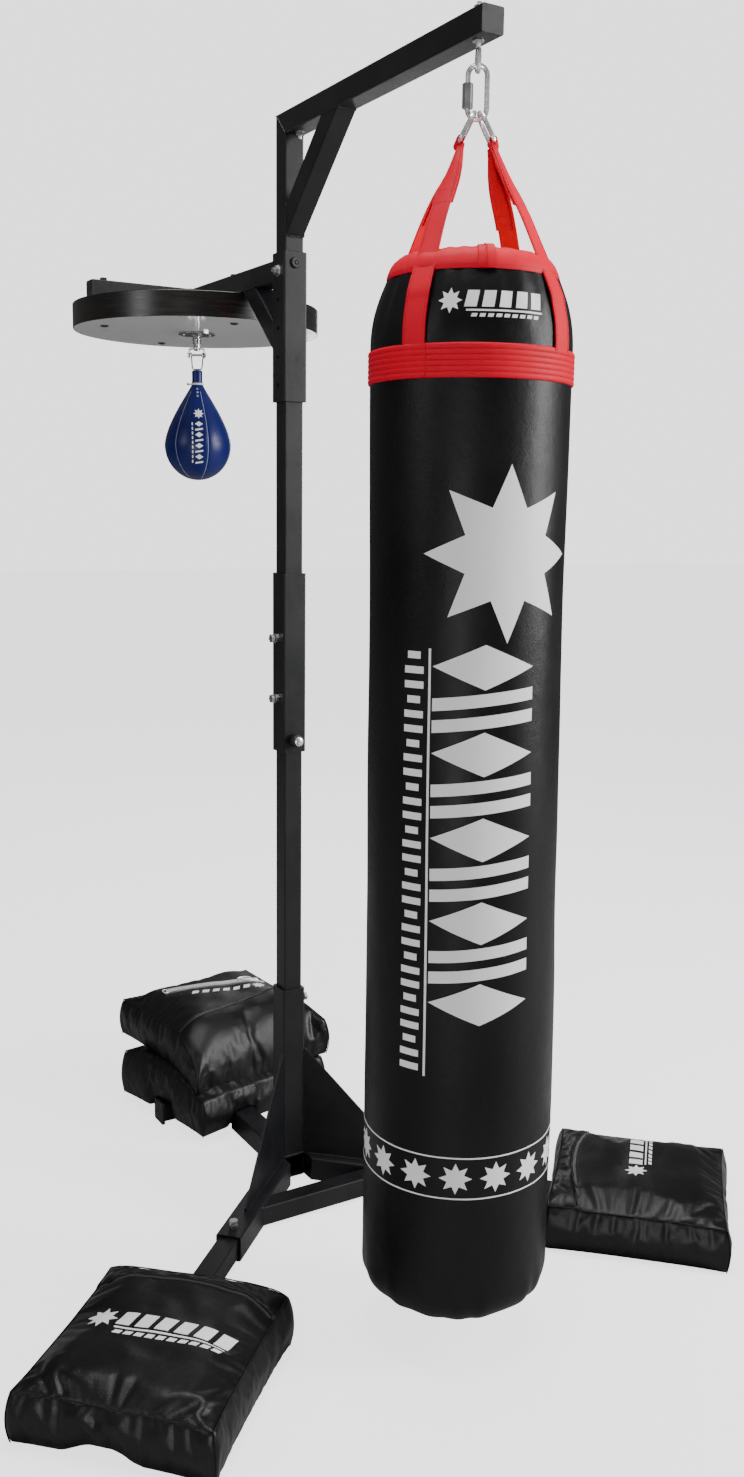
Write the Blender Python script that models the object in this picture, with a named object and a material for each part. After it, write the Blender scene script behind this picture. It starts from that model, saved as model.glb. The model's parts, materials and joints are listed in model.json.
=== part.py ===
"""Punching bag on a stand: steel base, telescoping mast, boom with a heavy bag, platform with a speed bag."""
import math

import bmesh
import bpy
from mathutils import Matrix, Vector

# The post's axis is x = y = 0, the floor is z = 0, the boom points along -Y. Lengths are in metres.
GAP = 0.0003

# Square tube stock
SLEEVE, SLEEVE_WALL, SLEEVE_CORNER = 0.057, 0.005, 0.004
TUBE, TUBE_WALL, TUBE_CORNER = 0.045, 0.003, 0.003
CORNER_STEPS = 3
PIPE_CLEAR = 0.005

# Base: three sockets, their legs, a crossbar and the upright sleeve
LEG_ANGLE = math.radians(46.0)
SOCKET_END, REAR_SOCKET_END = 0.404, 0.270
LEG_START, LEG_END = 0.090, 0.930
REAR_LEG_START, REAR_BAR_Y, REAR_BAR_HALF = 0.030, 0.4065, 0.170
CROSSBAR_FRONT = -0.206
LEG_BOLT_AT, REAR_BOLT_AT, POST_BOLT_Z = 0.372, 0.105, 0.445
GUSSET_THICK, GUSSET_TOP, GUSSET_END, GUSSET_NOSE = 0.005, 0.322, 0.300, 0.006
CAP_THICK, CAP_SPIGOT = 0.007, 0.020
PLUG_THICK, PLUG_SPIGOT = 0.003, 0.015
SPIGOT_SIZE, SPIGOT_CORNER = 0.0380, 0.002

# Mast
POST_SLEEVE_TOP = 0.479
POST_JOIN = 1.300
COUPLER_BOTTOM, COUPLER_TOP = 1.053, 1.462
COUPLER_BOLTS = (1.177, 1.315)
KNOB_Z = 1.081
UPPER_POST_TOP = 2.060
HEAD_BOTTOM, HEAD_TOP = 1.838, 2.153
HEAD_BOLT_Z = 2.115
HEAD_HOLES, HEAD_HOLE_R = (1.874, 1.934, 1.994, 2.054), 0.0045

# Fasteners: radii, then lengths along the bolt
BOLT_R, BOLT_HOLE_R, BOLT_HEX_R = 0.005, 0.0054, 0.0098
JAM_NUT, JAM_NECK, JAM_HEAD = 0.008, 0.004, 0.0065
THROUGH_TIP, THROUGH_NUT, THROUGH_HEAD = 0.006, 0.008, 0.007
KNOB_STEPS = ((0.006, 0.0100), (0.018, 0.0155), (0.022, 0.0115))
DRILL_IN, DRILL_OUT, CUTTER_PHASE = 0.008, 0.004, 0.11

# Boom
BOOM_TOP, BOOM_END = 2.437, -0.735
BOOM_Z = BOOM_TOP - TUBE / 2
BRACE_FOOT_Z, BRACE_HEAD_Y = 2.2155, -0.213
EYE_SHANK_OUT = 0.016

# Speed bag platform
BOARD_Y, BOARD_R, BOARD_UNDER, BOARD_THICK = 0.509, 0.3048, 2.0385, 0.0575
BOARD_TOP, BOARD_BEVEL = BOARD_UNDER + BOARD_THICK, 0.001
ARM_END, CROSSBAR_HALF = 0.785, 0.275
STRUT_FOOT_Z, STRUT_HEAD_Y = 1.9745, 0.158

# Hanging hardware, turned about Z so that the quick link's broad side faces azimuth HANG_TURN
BAG_Y = -0.697
HANG_TURN = math.radians(31.0)
EYE_WIRE, EYE_R, EYE_Z = 0.0045, 0.0175, 2.3614
LINK_WIRE, LINK_HALF, LINK_TOP, LINK_BOTTOM = 0.0045, 0.0165, 2.3532, 2.2662
NUT_BOTTOM, NUT_LENGTH, NUT_R = 2.2835, 0.040, 0.0094
LINK_GAP = (2.2855, 2.2955)
RING_WIRE, RING_HALF, RING_LENGTH, RING_TILT = 0.004, 0.024, 0.0565, math.radians(27.0)
RING_SPREAD, RING_CORNER, RING_BEND = math.radians(34.0), 0.009, 0.020

# Heavy bag
BAG_R, BAG_WALL, BAG_BOTTOM, BAG_RIM, BAG_RIM_R = 0.178, 0.003, 0.100, 1.999, 0.149
BAG_BASE = ((0.118, BAG_BOTTOM), (0.150, 0.108), (0.170, 0.130), (BAG_R, 0.162))
BAG_SHOULDER = ((BAG_R, 1.905), (0.1735, 1.939), (0.1645, 1.968), (BAG_RIM_R, BAG_RIM))
BAG_CROWN = ((BAG_RIM_R, BAG_RIM + GAP), (0.141, 2.0113), (0.122, 2.027), (0.090, 2.037), (0.045, 2.044))
FILL_CLEAR = 0.001
BAND_BOTTOM, BAND_TOP, BAND_THICK = 1.821, 1.877, 0.0025
STRAP_WIDTH, STRAP_THICK, STRAP_NARROW = 0.045, 0.0026, 0.019
STRAP_BEND_R, STRAP_BEND_Z = 0.1700, 1.9680
STRAP_AZIMUTHS = {"front_left": 203.0, "rear_left": 113.0, "front_right": 293.0, "rear_right": 23.0}

# Speed bag
SWIVEL_R, SWIVEL_THICK, HOUSING_R, HOUSING_BOTTOM = 0.046, 0.004, 0.0095, 2.012
HOUSING_FILLET = 0.004
SPINDLE_R, SPINDLE_BORE, SPINDLE_TOP, SPINDLE_CLEAR = 0.0050, 0.0054, 2.026, 0.002
CLEVIS_TOP, CLEVIS_BOTTOM, CLEVIS_HALF, CLEVIS_BAND, CLEVIS_THICK = 2.0025, 1.978, 0.0205, 0.014, 0.003
CLEVIS_CORNER, CLEVIS_BORE = 0.006, 0.0046
SPINDLE_HEAD, SPINDLE_NECK_R, SPINDLE_HEAD_R, SPINDLE_FLANGE_R = 0.0035, 0.0042, 0.0075, 0.0085
PIN_Z, PIN_R, PIN_HEAD_R, PIN_HEAD, PIN_RIVET = 1.9855, 0.003, 0.0048, 0.004, 0.0025
BAIL_WIRE, BAIL_BOTTOM, BAIL_TOP_HALF, BAIL_BOTTOM_HALF = 0.0018, 1.9505, 0.0150, 0.0110
NECK_TOP, NECK_R, COLLAR_Z = 1.948, 0.0135, 1.912
SPEED_R, SPEED_WIDE_Z, SPEED_BOTTOM, SPEED_WALL = 0.084, 1.763, 1.675, 0.0025
SPEED_SHOULDER = ((NECK_R + 0.0015, COLLAR_Z), (0.031, 1.889), (0.047, 1.862), (0.061, 1.833), (0.0725, 1.804))
BLADDER_CLEAR = 0.0012

# Sandbags
SANDBAG_SIDE, SANDBAG_HEIGHT, SANDBAG_AT = 0.395, 0.116, 0.846
SANDBAG_SHIFT = {"left": -0.030, "right": 0.0}
REAR_SIDE, REAR_LOWER_Z, REAR_LOWER_TOP, REAR_UPPER_TOP = 0.415, 0.022, 0.152, 0.262
REAR_LOWER_AT, REAR_LOWER_TURN, REAR_LOWER_DEPTH = (0.027, 0.440), math.radians(12.5), 0.372
REAR_UPPER_AT, REAR_UPPER_TURN = (0.050, 0.485), math.radians(7.0)
CHANNEL_CLEAR, CHANNEL_START = 0.001, 0.5
CHANNEL = SLEEVE + CHANNEL_CLEAR
PILLOW_LAYERS = ((0.0, 0.88), (0.18, 0.97), (0.45, 1.0), (0.80, 0.965), (0.94, 0.86), (1.0, 0.70))
PILLOW_CORNER = 0.10
BELOW = 0.01

DOWN, UP = Vector((0, 0, -1)), Vector((0, 0, 1))
ACROSS = Vector((math.cos(HANG_TURN), -math.sin(HANG_TURN), 0))
FORWARD = Vector((math.sin(HANG_TURN), math.cos(HANG_TURN), 0))
LEG_DIRECTION = {
    "left": Vector((-math.sin(LEG_ANGLE), -math.cos(LEG_ANGLE), 0)),
    "right": Vector((math.sin(LEG_ANGLE), -math.cos(LEG_ANGLE), 0)),
}
COLOURS = {
    "frame_steel": ((0.030, 0.031, 0.034), 0.6, 0.42),
    "zinc_bolt": ((0.62, 0.62, 0.62), 1.0, 0.30),
    "chrome": ((0.75, 0.75, 0.76), 1.0, 0.12),
    "cap_plastic": ((0.015, 0.015, 0.016), 0.0, 0.55),
    "board_white": ((0.62, 0.62, 0.63), 0.0, 0.18),
    "bag_vinyl": ((0.016, 0.017, 0.018), 0.0, 0.38),
    "red_vinyl": ((0.68, 0.024, 0.022), 0.0, 0.40),
    "textile_fill": ((0.45, 0.43, 0.40), 0.0, 0.95),
    "speed_vinyl": ((0.012, 0.035, 0.22), 0.0, 0.25),
    "bladder_rubber": ((0.06, 0.06, 0.06), 0.0, 0.70),
    "sandbag_vinyl": ((0.018, 0.019, 0.021), 0.0, 0.45),
}


# ---------------------------------------------------------------- helpers
def clear_scene():
    for obj in list(bpy.data.objects):
        bpy.data.objects.remove(obj, do_unlink=True)


def material(name):
    found = bpy.data.materials.get(name)
    if found:
        return found
    colour, metallic, roughness = COLOURS[name]
    made = bpy.data.materials.new(name)
    made.use_nodes = True
    shader = made.node_tree.nodes["Principled BSDF"]
    shader.inputs["Base Color"].default_value = (*colour, 1.0)
    shader.inputs["Metallic"].default_value = metallic
    shader.inputs["Roughness"].default_value = roughness
    return made


def add_object(name, bm, slot, pivot=(0, 0, 0)):
    """Make a named object from world-space geometry, with its origin at pivot."""
    bmesh.ops.recalc_face_normals(bm, faces=bm.faces)
    bmesh.ops.translate(bm, verts=bm.verts, vec=-Vector(pivot))
    mesh = bpy.data.meshes.new(name)
    bm.to_mesh(mesh)
    bm.free()
    mesh.shade_smooth()
    mesh.set_sharp_from_angle(angle=math.radians(35))
    mesh.materials.append(material(slot))
    obj = bpy.data.objects.new(name, mesh)
    obj.location = pivot
    bpy.context.collection.objects.link(obj)
    return obj


def loft(sections, closed_path=False, name=None, slot=None, pivot=(0, 0, 0)):
    """Skin a row of equal-length point loops; the ends are capped unless the path closes on itself."""
    bm = bmesh.new()
    rows = [[bm.verts.new(p) for p in section] for section in sections]
    count = len(rows[0])
    pairs = list(zip(rows, rows[1:]))
    if closed_path:
        pairs.append((rows[-1], rows[0]))
    for a, b in pairs:
        for i in range(count):
            j = (i + 1) % count
            bm.faces.new((a[i], a[j], b[j], b[i]))
    if not closed_path:
        bm.faces.new(rows[0])
        bm.faces.new(list(reversed(rows[-1])))
    return add_object(name, bm, slot, pivot)


def rounded_square(size, corner):
    """Outline of a square tube, as (a, b) pairs going round once."""
    points = []
    half = size / 2 - corner
    for quarter in range(4):
        start = quarter * math.pi / 2
        ca = half * (1 if quarter in (0, 3) else -1)
        cb = half * (1 if quarter in (0, 1) else -1)
        for step in range(CORNER_STEPS + 1):
            angle = start + step * math.pi / 2 / CORNER_STEPS
            points.append((ca + corner * math.cos(angle), cb + corner * math.sin(angle)))
    return points


def square_tube(name, slot, a, b, size, wall, corner, cut_a=None, cut_b=None):
    """Open-ended square tube from a to b. cut_a and cut_b are (point, normal) planes for slanted ends."""
    a, b = Vector(a), Vector(b)
    along = (b - a).normalized()
    side = along.cross(UP) if abs(along.z) < 0.99 else Vector((1, 0, 0))
    side.normalize()
    top = side.cross(along)
    outer = rounded_square(size, corner)
    inner = rounded_square(size - 2 * wall, max(corner - wall * 0.6, 0.0008))

    def ring(outline, centre, cut):
        points = []
        for u, v in outline:
            point = centre + side * u + top * v
            if cut:
                plane_point, normal = Vector(cut[0]), Vector(cut[1])
                point = point + along * ((plane_point - point).dot(normal) / along.dot(normal))
            points.append(point)
        return points

    rings = [ring(outer, a, cut_a), ring(outer, b, cut_b), ring(inner, b, cut_b), ring(inner, a, cut_a)]
    return loft(rings, closed_path=True, name=name, slot=slot)


def frames_along(path, closed, hint):
    """A (point, normal, side) triple at every path point; the normal starts near hint and is carried along."""
    frames = []
    count = len(path)
    normal = hint
    for i, point in enumerate(path):
        before = path[i - 1] if closed or i else path[0]
        after = path[(i + 1) % count] if closed or i < count - 1 else path[-1]
        tangent = (after - before).normalized()
        normal = (normal - tangent * normal.dot(tangent)).normalized()
        frames.append((point, normal, tangent.cross(normal)))
    return frames


def wire(name, slot, path, radius, hint, closed=True, sides=8):
    """Round wire bent along a path that lies roughly across hint."""
    sections = []
    for point, normal, side in frames_along(path, closed, hint):
        turns = [2 * math.pi * k / sides for k in range(sides)]
        sections.append([point + (normal * math.cos(t) + side * math.sin(t)) * radius for t in turns])
    return loft(sections, closed_path=closed, name=name, slot=slot)


def arc(centre, u, v, radius, start, end, steps, radius_v=None):
    """Points on an arc in the plane of u and v, angles in degrees."""
    angles = [math.radians(start + (end - start) * k / steps) for k in range(steps + 1)]
    tall = radius if radius_v is None else radius_v
    return [centre + u * radius * math.cos(a) + v * tall * math.sin(a) for a in angles]


def turned(name, slot, profile, centre, steps, hollow=False):
    """Piece turned about the vertical through centre. profile holds (radius, z) pairs.
    A solid piece starts and ends at small radii and is capped; a hollow one's profile closes on itself."""
    sections = []
    for radius, z in profile:
        ring = []
        for k in range(steps):
            angle = 2 * math.pi * k / steps
            ring.append(Vector((centre[0] + radius * math.cos(angle), centre[1] + radius * math.sin(angle), z)))
        sections.append(ring)
    return loft(sections, closed_path=hollow, name=name, slot=slot)


def bolt(name, slot, start, direction, stack, phase=0.0):
    """Fastener as a stack along direction: (distance, radius, 'hex' or 'round') from its tip."""
    start, direction = Vector(start), Vector(direction).normalized()
    side = direction.orthogonal().normalized()
    other = direction.cross(side)
    sections = []
    for distance, radius, shape in stack:
        ring = []
        for k in range(12):
            angle = math.pi * k / 6 + phase
            reach = radius
            if shape == "hex" and k % 2:
                reach = radius * math.cos(math.pi / 6)
            ring.append(start + direction * distance + (side * math.cos(angle) + other * math.sin(angle)) * reach)
        sections.append(ring)
    return loft(sections, name=name, slot=slot, pivot=tuple(start))


def drill(target, start, end, radius):
    """Cut a round hole through target with a hidden cutter, whose corners stay off the hole's neighbours."""
    start, end = Vector(start), Vector(end)
    cutter = bolt(f"cut_{target.name}_{len(target.modifiers)}", "zinc_bolt", start, end - start,
                  [(0, radius, "round"), ((end - start).length, radius, "round")], phase=CUTTER_PHASE)
    cut_with(target, cutter)


def drill_wall(target, face, outward, radius):
    """Cut a round hole through the wall of a square tube whose outer face passes through the point face."""
    face, outward = Vector(face), Vector(outward)
    drill(target, face - outward * DRILL_IN, face + outward * DRILL_OUT, radius)


def cut_with(target, cutter):
    cutter.hide_render = True
    cutter.display_type = "WIRE"
    cutter.hide_set(True)
    modifier = target.modifiers.new(cutter.name, "BOOLEAN")
    modifier.operation = "DIFFERENCE"
    modifier.solver = "EXACT"
    modifier.object = cutter


def block(name, slot, low, high, turn=0.0, about=(0, 0)):
    """Plain box, turned about a vertical axis; used as a cutter."""
    bm = bmesh.new()
    bmesh.ops.create_cube(bm, size=1.0)
    size = Vector(high) - Vector(low)
    bmesh.ops.scale(bm, vec=size, verts=bm.verts)
    bmesh.ops.translate(bm, vec=(Vector(low) + Vector(high)) / 2, verts=bm.verts)
    centre = Vector((about[0], about[1], 0))
    bmesh.ops.rotate(bm, cent=centre, matrix=Matrix.Rotation(turn, 3, "Z"), verts=bm.verts)
    return add_object(name, bm, slot)


def parent_to(empty_name, location, pieces):
    """Group the pieces of one moving body under an empty on its joint's axis."""
    empty = bpy.data.objects.new(empty_name, None)
    empty.location = location
    empty.empty_display_size = 0.05
    bpy.context.collection.objects.link(empty)
    for piece in pieces:
        piece.parent = empty
        piece.location = piece.location - Vector(location)


# ---------------------------------------------------------------- base
def make_base():
    middle = SLEEVE / 2
    rear = square_tube("rear_socket", "frame_steel", (0, -middle, middle), (0, REAR_SOCKET_END, middle),
                       SLEEVE, SLEEVE_WALL, SLEEVE_CORNER)
    drill_wall(rear, (0, REAR_BOLT_AT, SLEEVE), UP, BOLT_HOLE_R)
    for side, direction in LEG_DIRECTION.items():
        sign = -1 if side == "left" else 1
        face = (Vector((sign * (middle + GAP), 0, 0)), Vector((1, 0, 0)))
        socket = square_tube(f"{side}_socket", "frame_steel", Vector((0, 0, middle)),
                             direction * SOCKET_END + Vector((0, 0, middle)),
                             SLEEVE, SLEEVE_WALL, SLEEVE_CORNER, cut_a=face)
        drill_wall(socket, direction * LEG_BOLT_AT + UP * SLEEVE, UP, BOLT_HOLE_R)
        make_gusset(f"{side}_gusset", direction)
    make_crossbar()
    post_low = SLEEVE + GAP
    sleeve = square_tube("post_sleeve", "frame_steel", (0, 0, post_low), (0, 0, POST_SLEEVE_TOP),
                         SLEEVE, SLEEVE_WALL, SLEEVE_CORNER)
    drill_wall(sleeve, (middle, 0, POST_BOLT_Z), (1, 0, 0), BOLT_HOLE_R)
    square_tube("lower_post", "frame_steel", (0, 0, post_low + GAP), (0, 0, POST_JOIN),
                TUBE, TUBE_WALL, TUBE_CORNER)
    jam_bolt("rear_leg_bolt", (0, REAR_BOLT_AT, middle), UP)
    for side, direction in LEG_DIRECTION.items():
        jam_bolt(f"{side}_leg_bolt", direction * LEG_BOLT_AT + UP * middle, UP)
    jam_bolt("post_bolt", (0, 0, POST_BOLT_Z), (1, 0, 0))


def make_gusset(name, direction):
    """Triangular plate standing on a socket's top, its upright edge against the sleeve's corner."""
    corner = SLEEVE / math.sqrt(2) - SLEEVE_CORNER * (math.sqrt(2) - 1)
    near = corner + 2 * GAP
    low = SLEEVE + GAP
    side = direction.cross(UP) * (GUSSET_THICK / 2)
    outline = [(near, low), (GUSSET_END, low), (GUSSET_END, low + GUSSET_NOSE), (near + GUSSET_NOSE, GUSSET_TOP),
               (near, GUSSET_TOP)]
    sections = [[direction * t + UP * z + side * s for t, z in outline] for s in (-1, 1)]
    loft(sections, name=name, slot="frame_steel")


def make_crossbar():
    """Straight tube between the two front sockets, its ends cut to their inner sides."""
    y = CROSSBAR_FRONT + TUBE / 2
    z = SLEEVE / 2
    cuts = []
    for side in ("left", "right"):
        direction = LEG_DIRECTION[side]
        normal = direction.cross(UP) * (1 if side == "right" else -1)
        inward = -1 if normal.y > 0 else 1
        normal = normal * inward
        cuts.append((normal * (SLEEVE / 2 + GAP), normal))
    square_tube("base_crossbar", "frame_steel", (-0.1, y, z), (0.1, y, z),
                TUBE, TUBE_WALL, TUBE_CORNER, cut_a=cuts[0], cut_b=cuts[1])


def jam_bolt(name, centre, direction):
    """Bolt in a welded nut on a sleeve's wall; its tip stops just short of the tube inside."""
    centre, direction = Vector(centre), Vector(direction)
    tip = TUBE / 2 + GAP
    wall = SLEEVE / 2 + GAP - tip
    nut_top = wall + JAM_NUT
    head = nut_top + JAM_NECK
    stack = [(0, BOLT_R, "round"), (wall, BOLT_R, "round"), (wall, BOLT_HEX_R, "hex"),
             (nut_top, BOLT_HEX_R, "hex"), (nut_top, BOLT_R, "round"),
             (head, BOLT_R, "round"), (head, BOLT_HEX_R, "hex"), (head + JAM_HEAD, BOLT_HEX_R, "hex")]
    return bolt(name, "zinc_bolt", centre + direction * tip, direction, stack)


# ---------------------------------------------------------------- legs
def end_plug(name, end, outward, size, corner, thick, spigot):
    """Plastic tube end: a square plate of the given size, with a spigot inside the tube."""
    end, outward = Vector(end), Vector(outward)
    side = outward.cross(UP)
    plate = rounded_square(size, corner)
    core = rounded_square(SPIGOT_SIZE, SPIGOT_CORNER)

    def ring(outline, distance):
        return [end + outward * distance + side * u + UP * v for u, v in outline]

    rings = [ring(core, -spigot), ring(core, GAP), ring(plate, GAP), ring(plate, thick)]
    return loft(rings, name=name, slot="cap_plastic")


def make_foot(name, end, outward):
    """End cap as tall as the sleeves, so that it reaches the floor."""
    return end_plug(name, end, outward, SLEEVE, SLEEVE_CORNER, CAP_THICK, CAP_SPIGOT)


def make_legs():
    z = SLEEVE / 2
    for side, direction in LEG_DIRECTION.items():
        end = direction * LEG_END + UP * z
        leg = square_tube(f"{side}_leg", "frame_steel", direction * LEG_START + UP * z, end,
                          TUBE, TUBE_WALL, TUBE_CORNER)
        cap = make_foot(f"{side}_leg_cap", end, direction)
        sandbag = make_front_sandbag(side, direction)
        parent_to(f"{side}_leg_slide", direction * LEG_START, [leg, cap])
        parent_to(f"{side}_sandbag_lift", direction * SANDBAG_AT, [sandbag])
    bar_front = REAR_BAR_Y - TUBE / 2
    leg = square_tube("rear_leg", "frame_steel", (0, REAR_LEG_START, z), (0, bar_front - GAP, z),
                      TUBE, TUBE_WALL, TUBE_CORNER)
    bar = square_tube("rear_foot_bar", "frame_steel", (-REAR_BAR_HALF, REAR_BAR_Y, z),
                      (REAR_BAR_HALF, REAR_BAR_Y, z), TUBE, TUBE_WALL, TUBE_CORNER)
    left = make_foot("foot_bar_cap_left", (-REAR_BAR_HALF, REAR_BAR_Y, z), (-1, 0, 0))
    right = make_foot("foot_bar_cap_right", (REAR_BAR_HALF, REAR_BAR_Y, z), (1, 0, 0))
    parent_to("rear_leg_slide", (0, REAR_LEG_START, 0), [leg, bar, left, right])


# ---------------------------------------------------------------- sandbags
def pillow(name, centre, side, depth, turn, low, high):
    """Soft four-sided bag: rounded plan, widest near mid height, drawn in at top and bottom."""
    sections = []
    for height, share in PILLOW_LAYERS:
        ring = []
        for a, across in rounded_square(side * share, side * share * PILLOW_CORNER):
            b = across * depth / side
            x = centre[0] + a * math.cos(turn) - b * math.sin(turn)
            y = centre[1] + a * math.sin(turn) + b * math.cos(turn)
            ring.append(Vector((x, y, low + (high - low) * height)))
        sections.append(ring)
    return loft(sections, name=name, slot="sandbag_vinyl", pivot=(centre[0], centre[1], low))


def make_front_sandbag(side, direction):
    """Sandbag astride a front leg, with a channel in its underside for the leg and its cap."""
    turn = math.atan2(direction.y, direction.x)
    centre = direction * SANDBAG_AT + direction.cross(UP) * SANDBAG_SHIFT[side]
    bag = pillow(f"{side}_sandbag", centre, SANDBAG_SIDE, SANDBAG_SIDE, turn, 0.0, SANDBAG_HEIGHT)
    end = LEG_END + CAP_THICK + CHANNEL_CLEAR
    channel = block(f"cut_{side}_sandbag_channel", "sandbag_vinyl", (CHANNEL_START, -CHANNEL / 2, -BELOW),
                    (end, CHANNEL / 2, CHANNEL), turn)
    cut_with(bag, channel)
    return bag


def make_rear_sandbags():
    """Two bags stacked on the rear leg; the lower one hangs over the foot bar and is channelled for it."""
    lower = pillow("rear_lower_sandbag", REAR_LOWER_AT, REAR_SIDE, REAR_LOWER_DEPTH, REAR_LOWER_TURN,
                   REAR_LOWER_Z, REAR_LOWER_TOP)
    half = CHANNEL / 2
    leg_channel = block("cut_rear_leg_channel", "sandbag_vinyl", (-half, 0, -BELOW),
                        (half, REAR_BAR_Y + half, CHANNEL))
    reach = REAR_BAR_HALF + CAP_THICK + CHANNEL_CLEAR
    bar_channel = block("cut_foot_bar_channel", "sandbag_vinyl", (-REAR_SIDE, REAR_BAR_Y - half, -BELOW),
                        (reach, REAR_BAR_Y + half, CHANNEL + GAP))
    cut_with(lower, leg_channel)
    cut_with(lower, bar_channel)
    upper = pillow("rear_upper_sandbag", REAR_UPPER_AT, REAR_SIDE, REAR_SIDE, REAR_UPPER_TURN,
                   REAR_LOWER_TOP + GAP, REAR_UPPER_TOP)
    parent_to("rear_lower_sandbag_lift", (*REAR_LOWER_AT, 0), [lower])
    parent_to("rear_upper_sandbag_lift", (*REAR_UPPER_AT, 0), [upper])


# ---------------------------------------------------------------- mast
def make_mast():
    half = SLEEVE / 2
    coupler = square_tube("coupler_sleeve", "frame_steel", (0, 0, COUPLER_BOTTOM), (0, 0, COUPLER_TOP),
                          SLEEVE, SLEEVE_WALL, SLEEVE_CORNER)
    post = square_tube("upper_post", "frame_steel", (0, 0, POST_JOIN + GAP), (0, 0, UPPER_POST_TOP),
                       TUBE, TUBE_WALL, TUBE_CORNER)
    pieces = [coupler, post]
    for name, z in zip(("coupler_bolt_lower", "coupler_bolt_upper"), COUPLER_BOLTS):
        drill_wall(coupler, (-half, 0, z), (-1, 0, 0), BOLT_HOLE_R)
        pieces.append(jam_bolt(name, (0, 0, z), (-1, 0, 0)))
    drill_wall(coupler, (0, -half, KNOB_Z), (0, -1, 0), BOLT_HOLE_R)
    tip = TUBE / 2 + GAP
    wall = half + GAP - tip
    (collar, collar_r), (grip, grip_r), (end, end_r) = KNOB_STEPS
    knob = bolt("coupler_knob", "cap_plastic", (0, -tip, KNOB_Z), (0, -1, 0),
                [(0, BOLT_R, "round"), (wall, BOLT_R, "round"), (wall, collar_r, "round"),
                 (wall + collar, collar_r, "round"), (wall + collar, grip_r, "round"),
                 (wall + grip, grip_r, "round"), (wall + end, end_r, "round")])
    parent_to("mast_height", (0, 0, POST_JOIN), pieces)
    parent_to("coupler_knob_turn", (0, 0, KNOB_Z), [knob])


# ---------------------------------------------------------------- head: sleeve, boom, platform
def make_head():
    half = SLEEVE / 2
    sleeve = square_tube("head_sleeve", "frame_steel", (0, 0, HEAD_BOTTOM), (0, 0, HEAD_TOP),
                         SLEEVE, SLEEVE_WALL, SLEEVE_CORNER)
    outside = half + DRILL_OUT
    for z in HEAD_HOLES:
        drill(sleeve, (-outside, 0, z), (outside, 0, z), HEAD_HOLE_R)
    drill(sleeve, (-outside, 0, HEAD_BOLT_Z), (outside, 0, HEAD_BOLT_Z), BOLT_HOLE_R)

    slope = (Vector((0, 0, BOOM_Z)), Vector((0, 1, -1)).normalized())
    upright_cut = (slope[0] + slope[1] * GAP / 2, slope[1])
    boom_cut = (slope[0] - slope[1] * GAP / 2, slope[1])
    upright = square_tube("boom_upright", "frame_steel", (0, 0, UPPER_POST_TOP + PIPE_CLEAR), (0, 0, BOOM_Z),
                          TUBE, TUBE_WALL, TUBE_CORNER, cut_b=upright_cut)
    drill(upright, (-half, 0, HEAD_BOLT_Z), (half, 0, HEAD_BOLT_Z), BOLT_HOLE_R)
    boom = square_tube("boom_tube", "frame_steel", (0, 0, BOOM_Z), (0, BOOM_END, BOOM_Z),
                       TUBE, TUBE_WALL, TUBE_CORNER, cut_a=boom_cut)
    drill(boom, (0, BAG_Y, BOOM_Z - half), (0, BAG_Y, BOOM_Z + half), BOLT_HOLE_R)
    plug = end_plug("boom_end_plug", (0, BOOM_END, BOOM_Z), (0, -1, 0), TUBE, TUBE_CORNER, PLUG_THICK, PLUG_SPIGOT)

    front = -TUBE / 2 - GAP
    under = BOOM_TOP - TUBE - GAP
    brace = square_tube("boom_brace", "frame_steel", (0, front, BRACE_FOOT_Z), (0, BRACE_HEAD_Y, under),
                        TUBE, TUBE_WALL, TUBE_CORNER,
                        cut_a=((0, front, 0), (0, 1, 0)), cut_b=((0, 0, under), (0, 0, 1)))
    near = THROUGH_TIP + THROUGH_NUT
    far = near + SLEEVE + 2 * GAP
    through = bolt("head_bolt", "zinc_bolt", (-half - GAP - near, 0, HEAD_BOLT_Z), (1, 0, 0),
                   [(0, BOLT_R, "round"), (THROUGH_TIP, BOLT_R, "round"), (THROUGH_TIP, BOLT_HEX_R, "hex"),
                    (near, BOLT_HEX_R, "hex"), (near, BOLT_R, "round"), (far, BOLT_R, "round"),
                    (far, BOLT_HEX_R, "hex"), (far + THROUGH_HEAD, BOLT_HEX_R, "hex")])
    eye = make_eye_bolt()
    pieces = [sleeve, upright, boom, plug, brace, through, eye] + make_platform()
    parent_to("head_height", (0, 0, HEAD_BOTTOM), pieces)


def make_eye_bolt():
    """Bent-wire eye bolt: the shank passes through the boom, and the wire curls into an eye below it."""
    centre = Vector((0, BAG_Y, EYE_Z))
    path = [Vector((0, BAG_Y, BOOM_TOP + EYE_SHANK_OUT)), Vector((0, BAG_Y, BOOM_TOP - TUBE)),
            centre + UP * (EYE_R + 2 * EYE_WIRE), centre + FORWARD * 0.003 + UP * (EYE_R + EYE_WIRE)]
    path += arc(centre, FORWARD, UP, EYE_R, 58, -232, 22)
    return wire("eye_bolt", "chrome", path, EYE_WIRE, ACROSS, closed=False)


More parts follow.
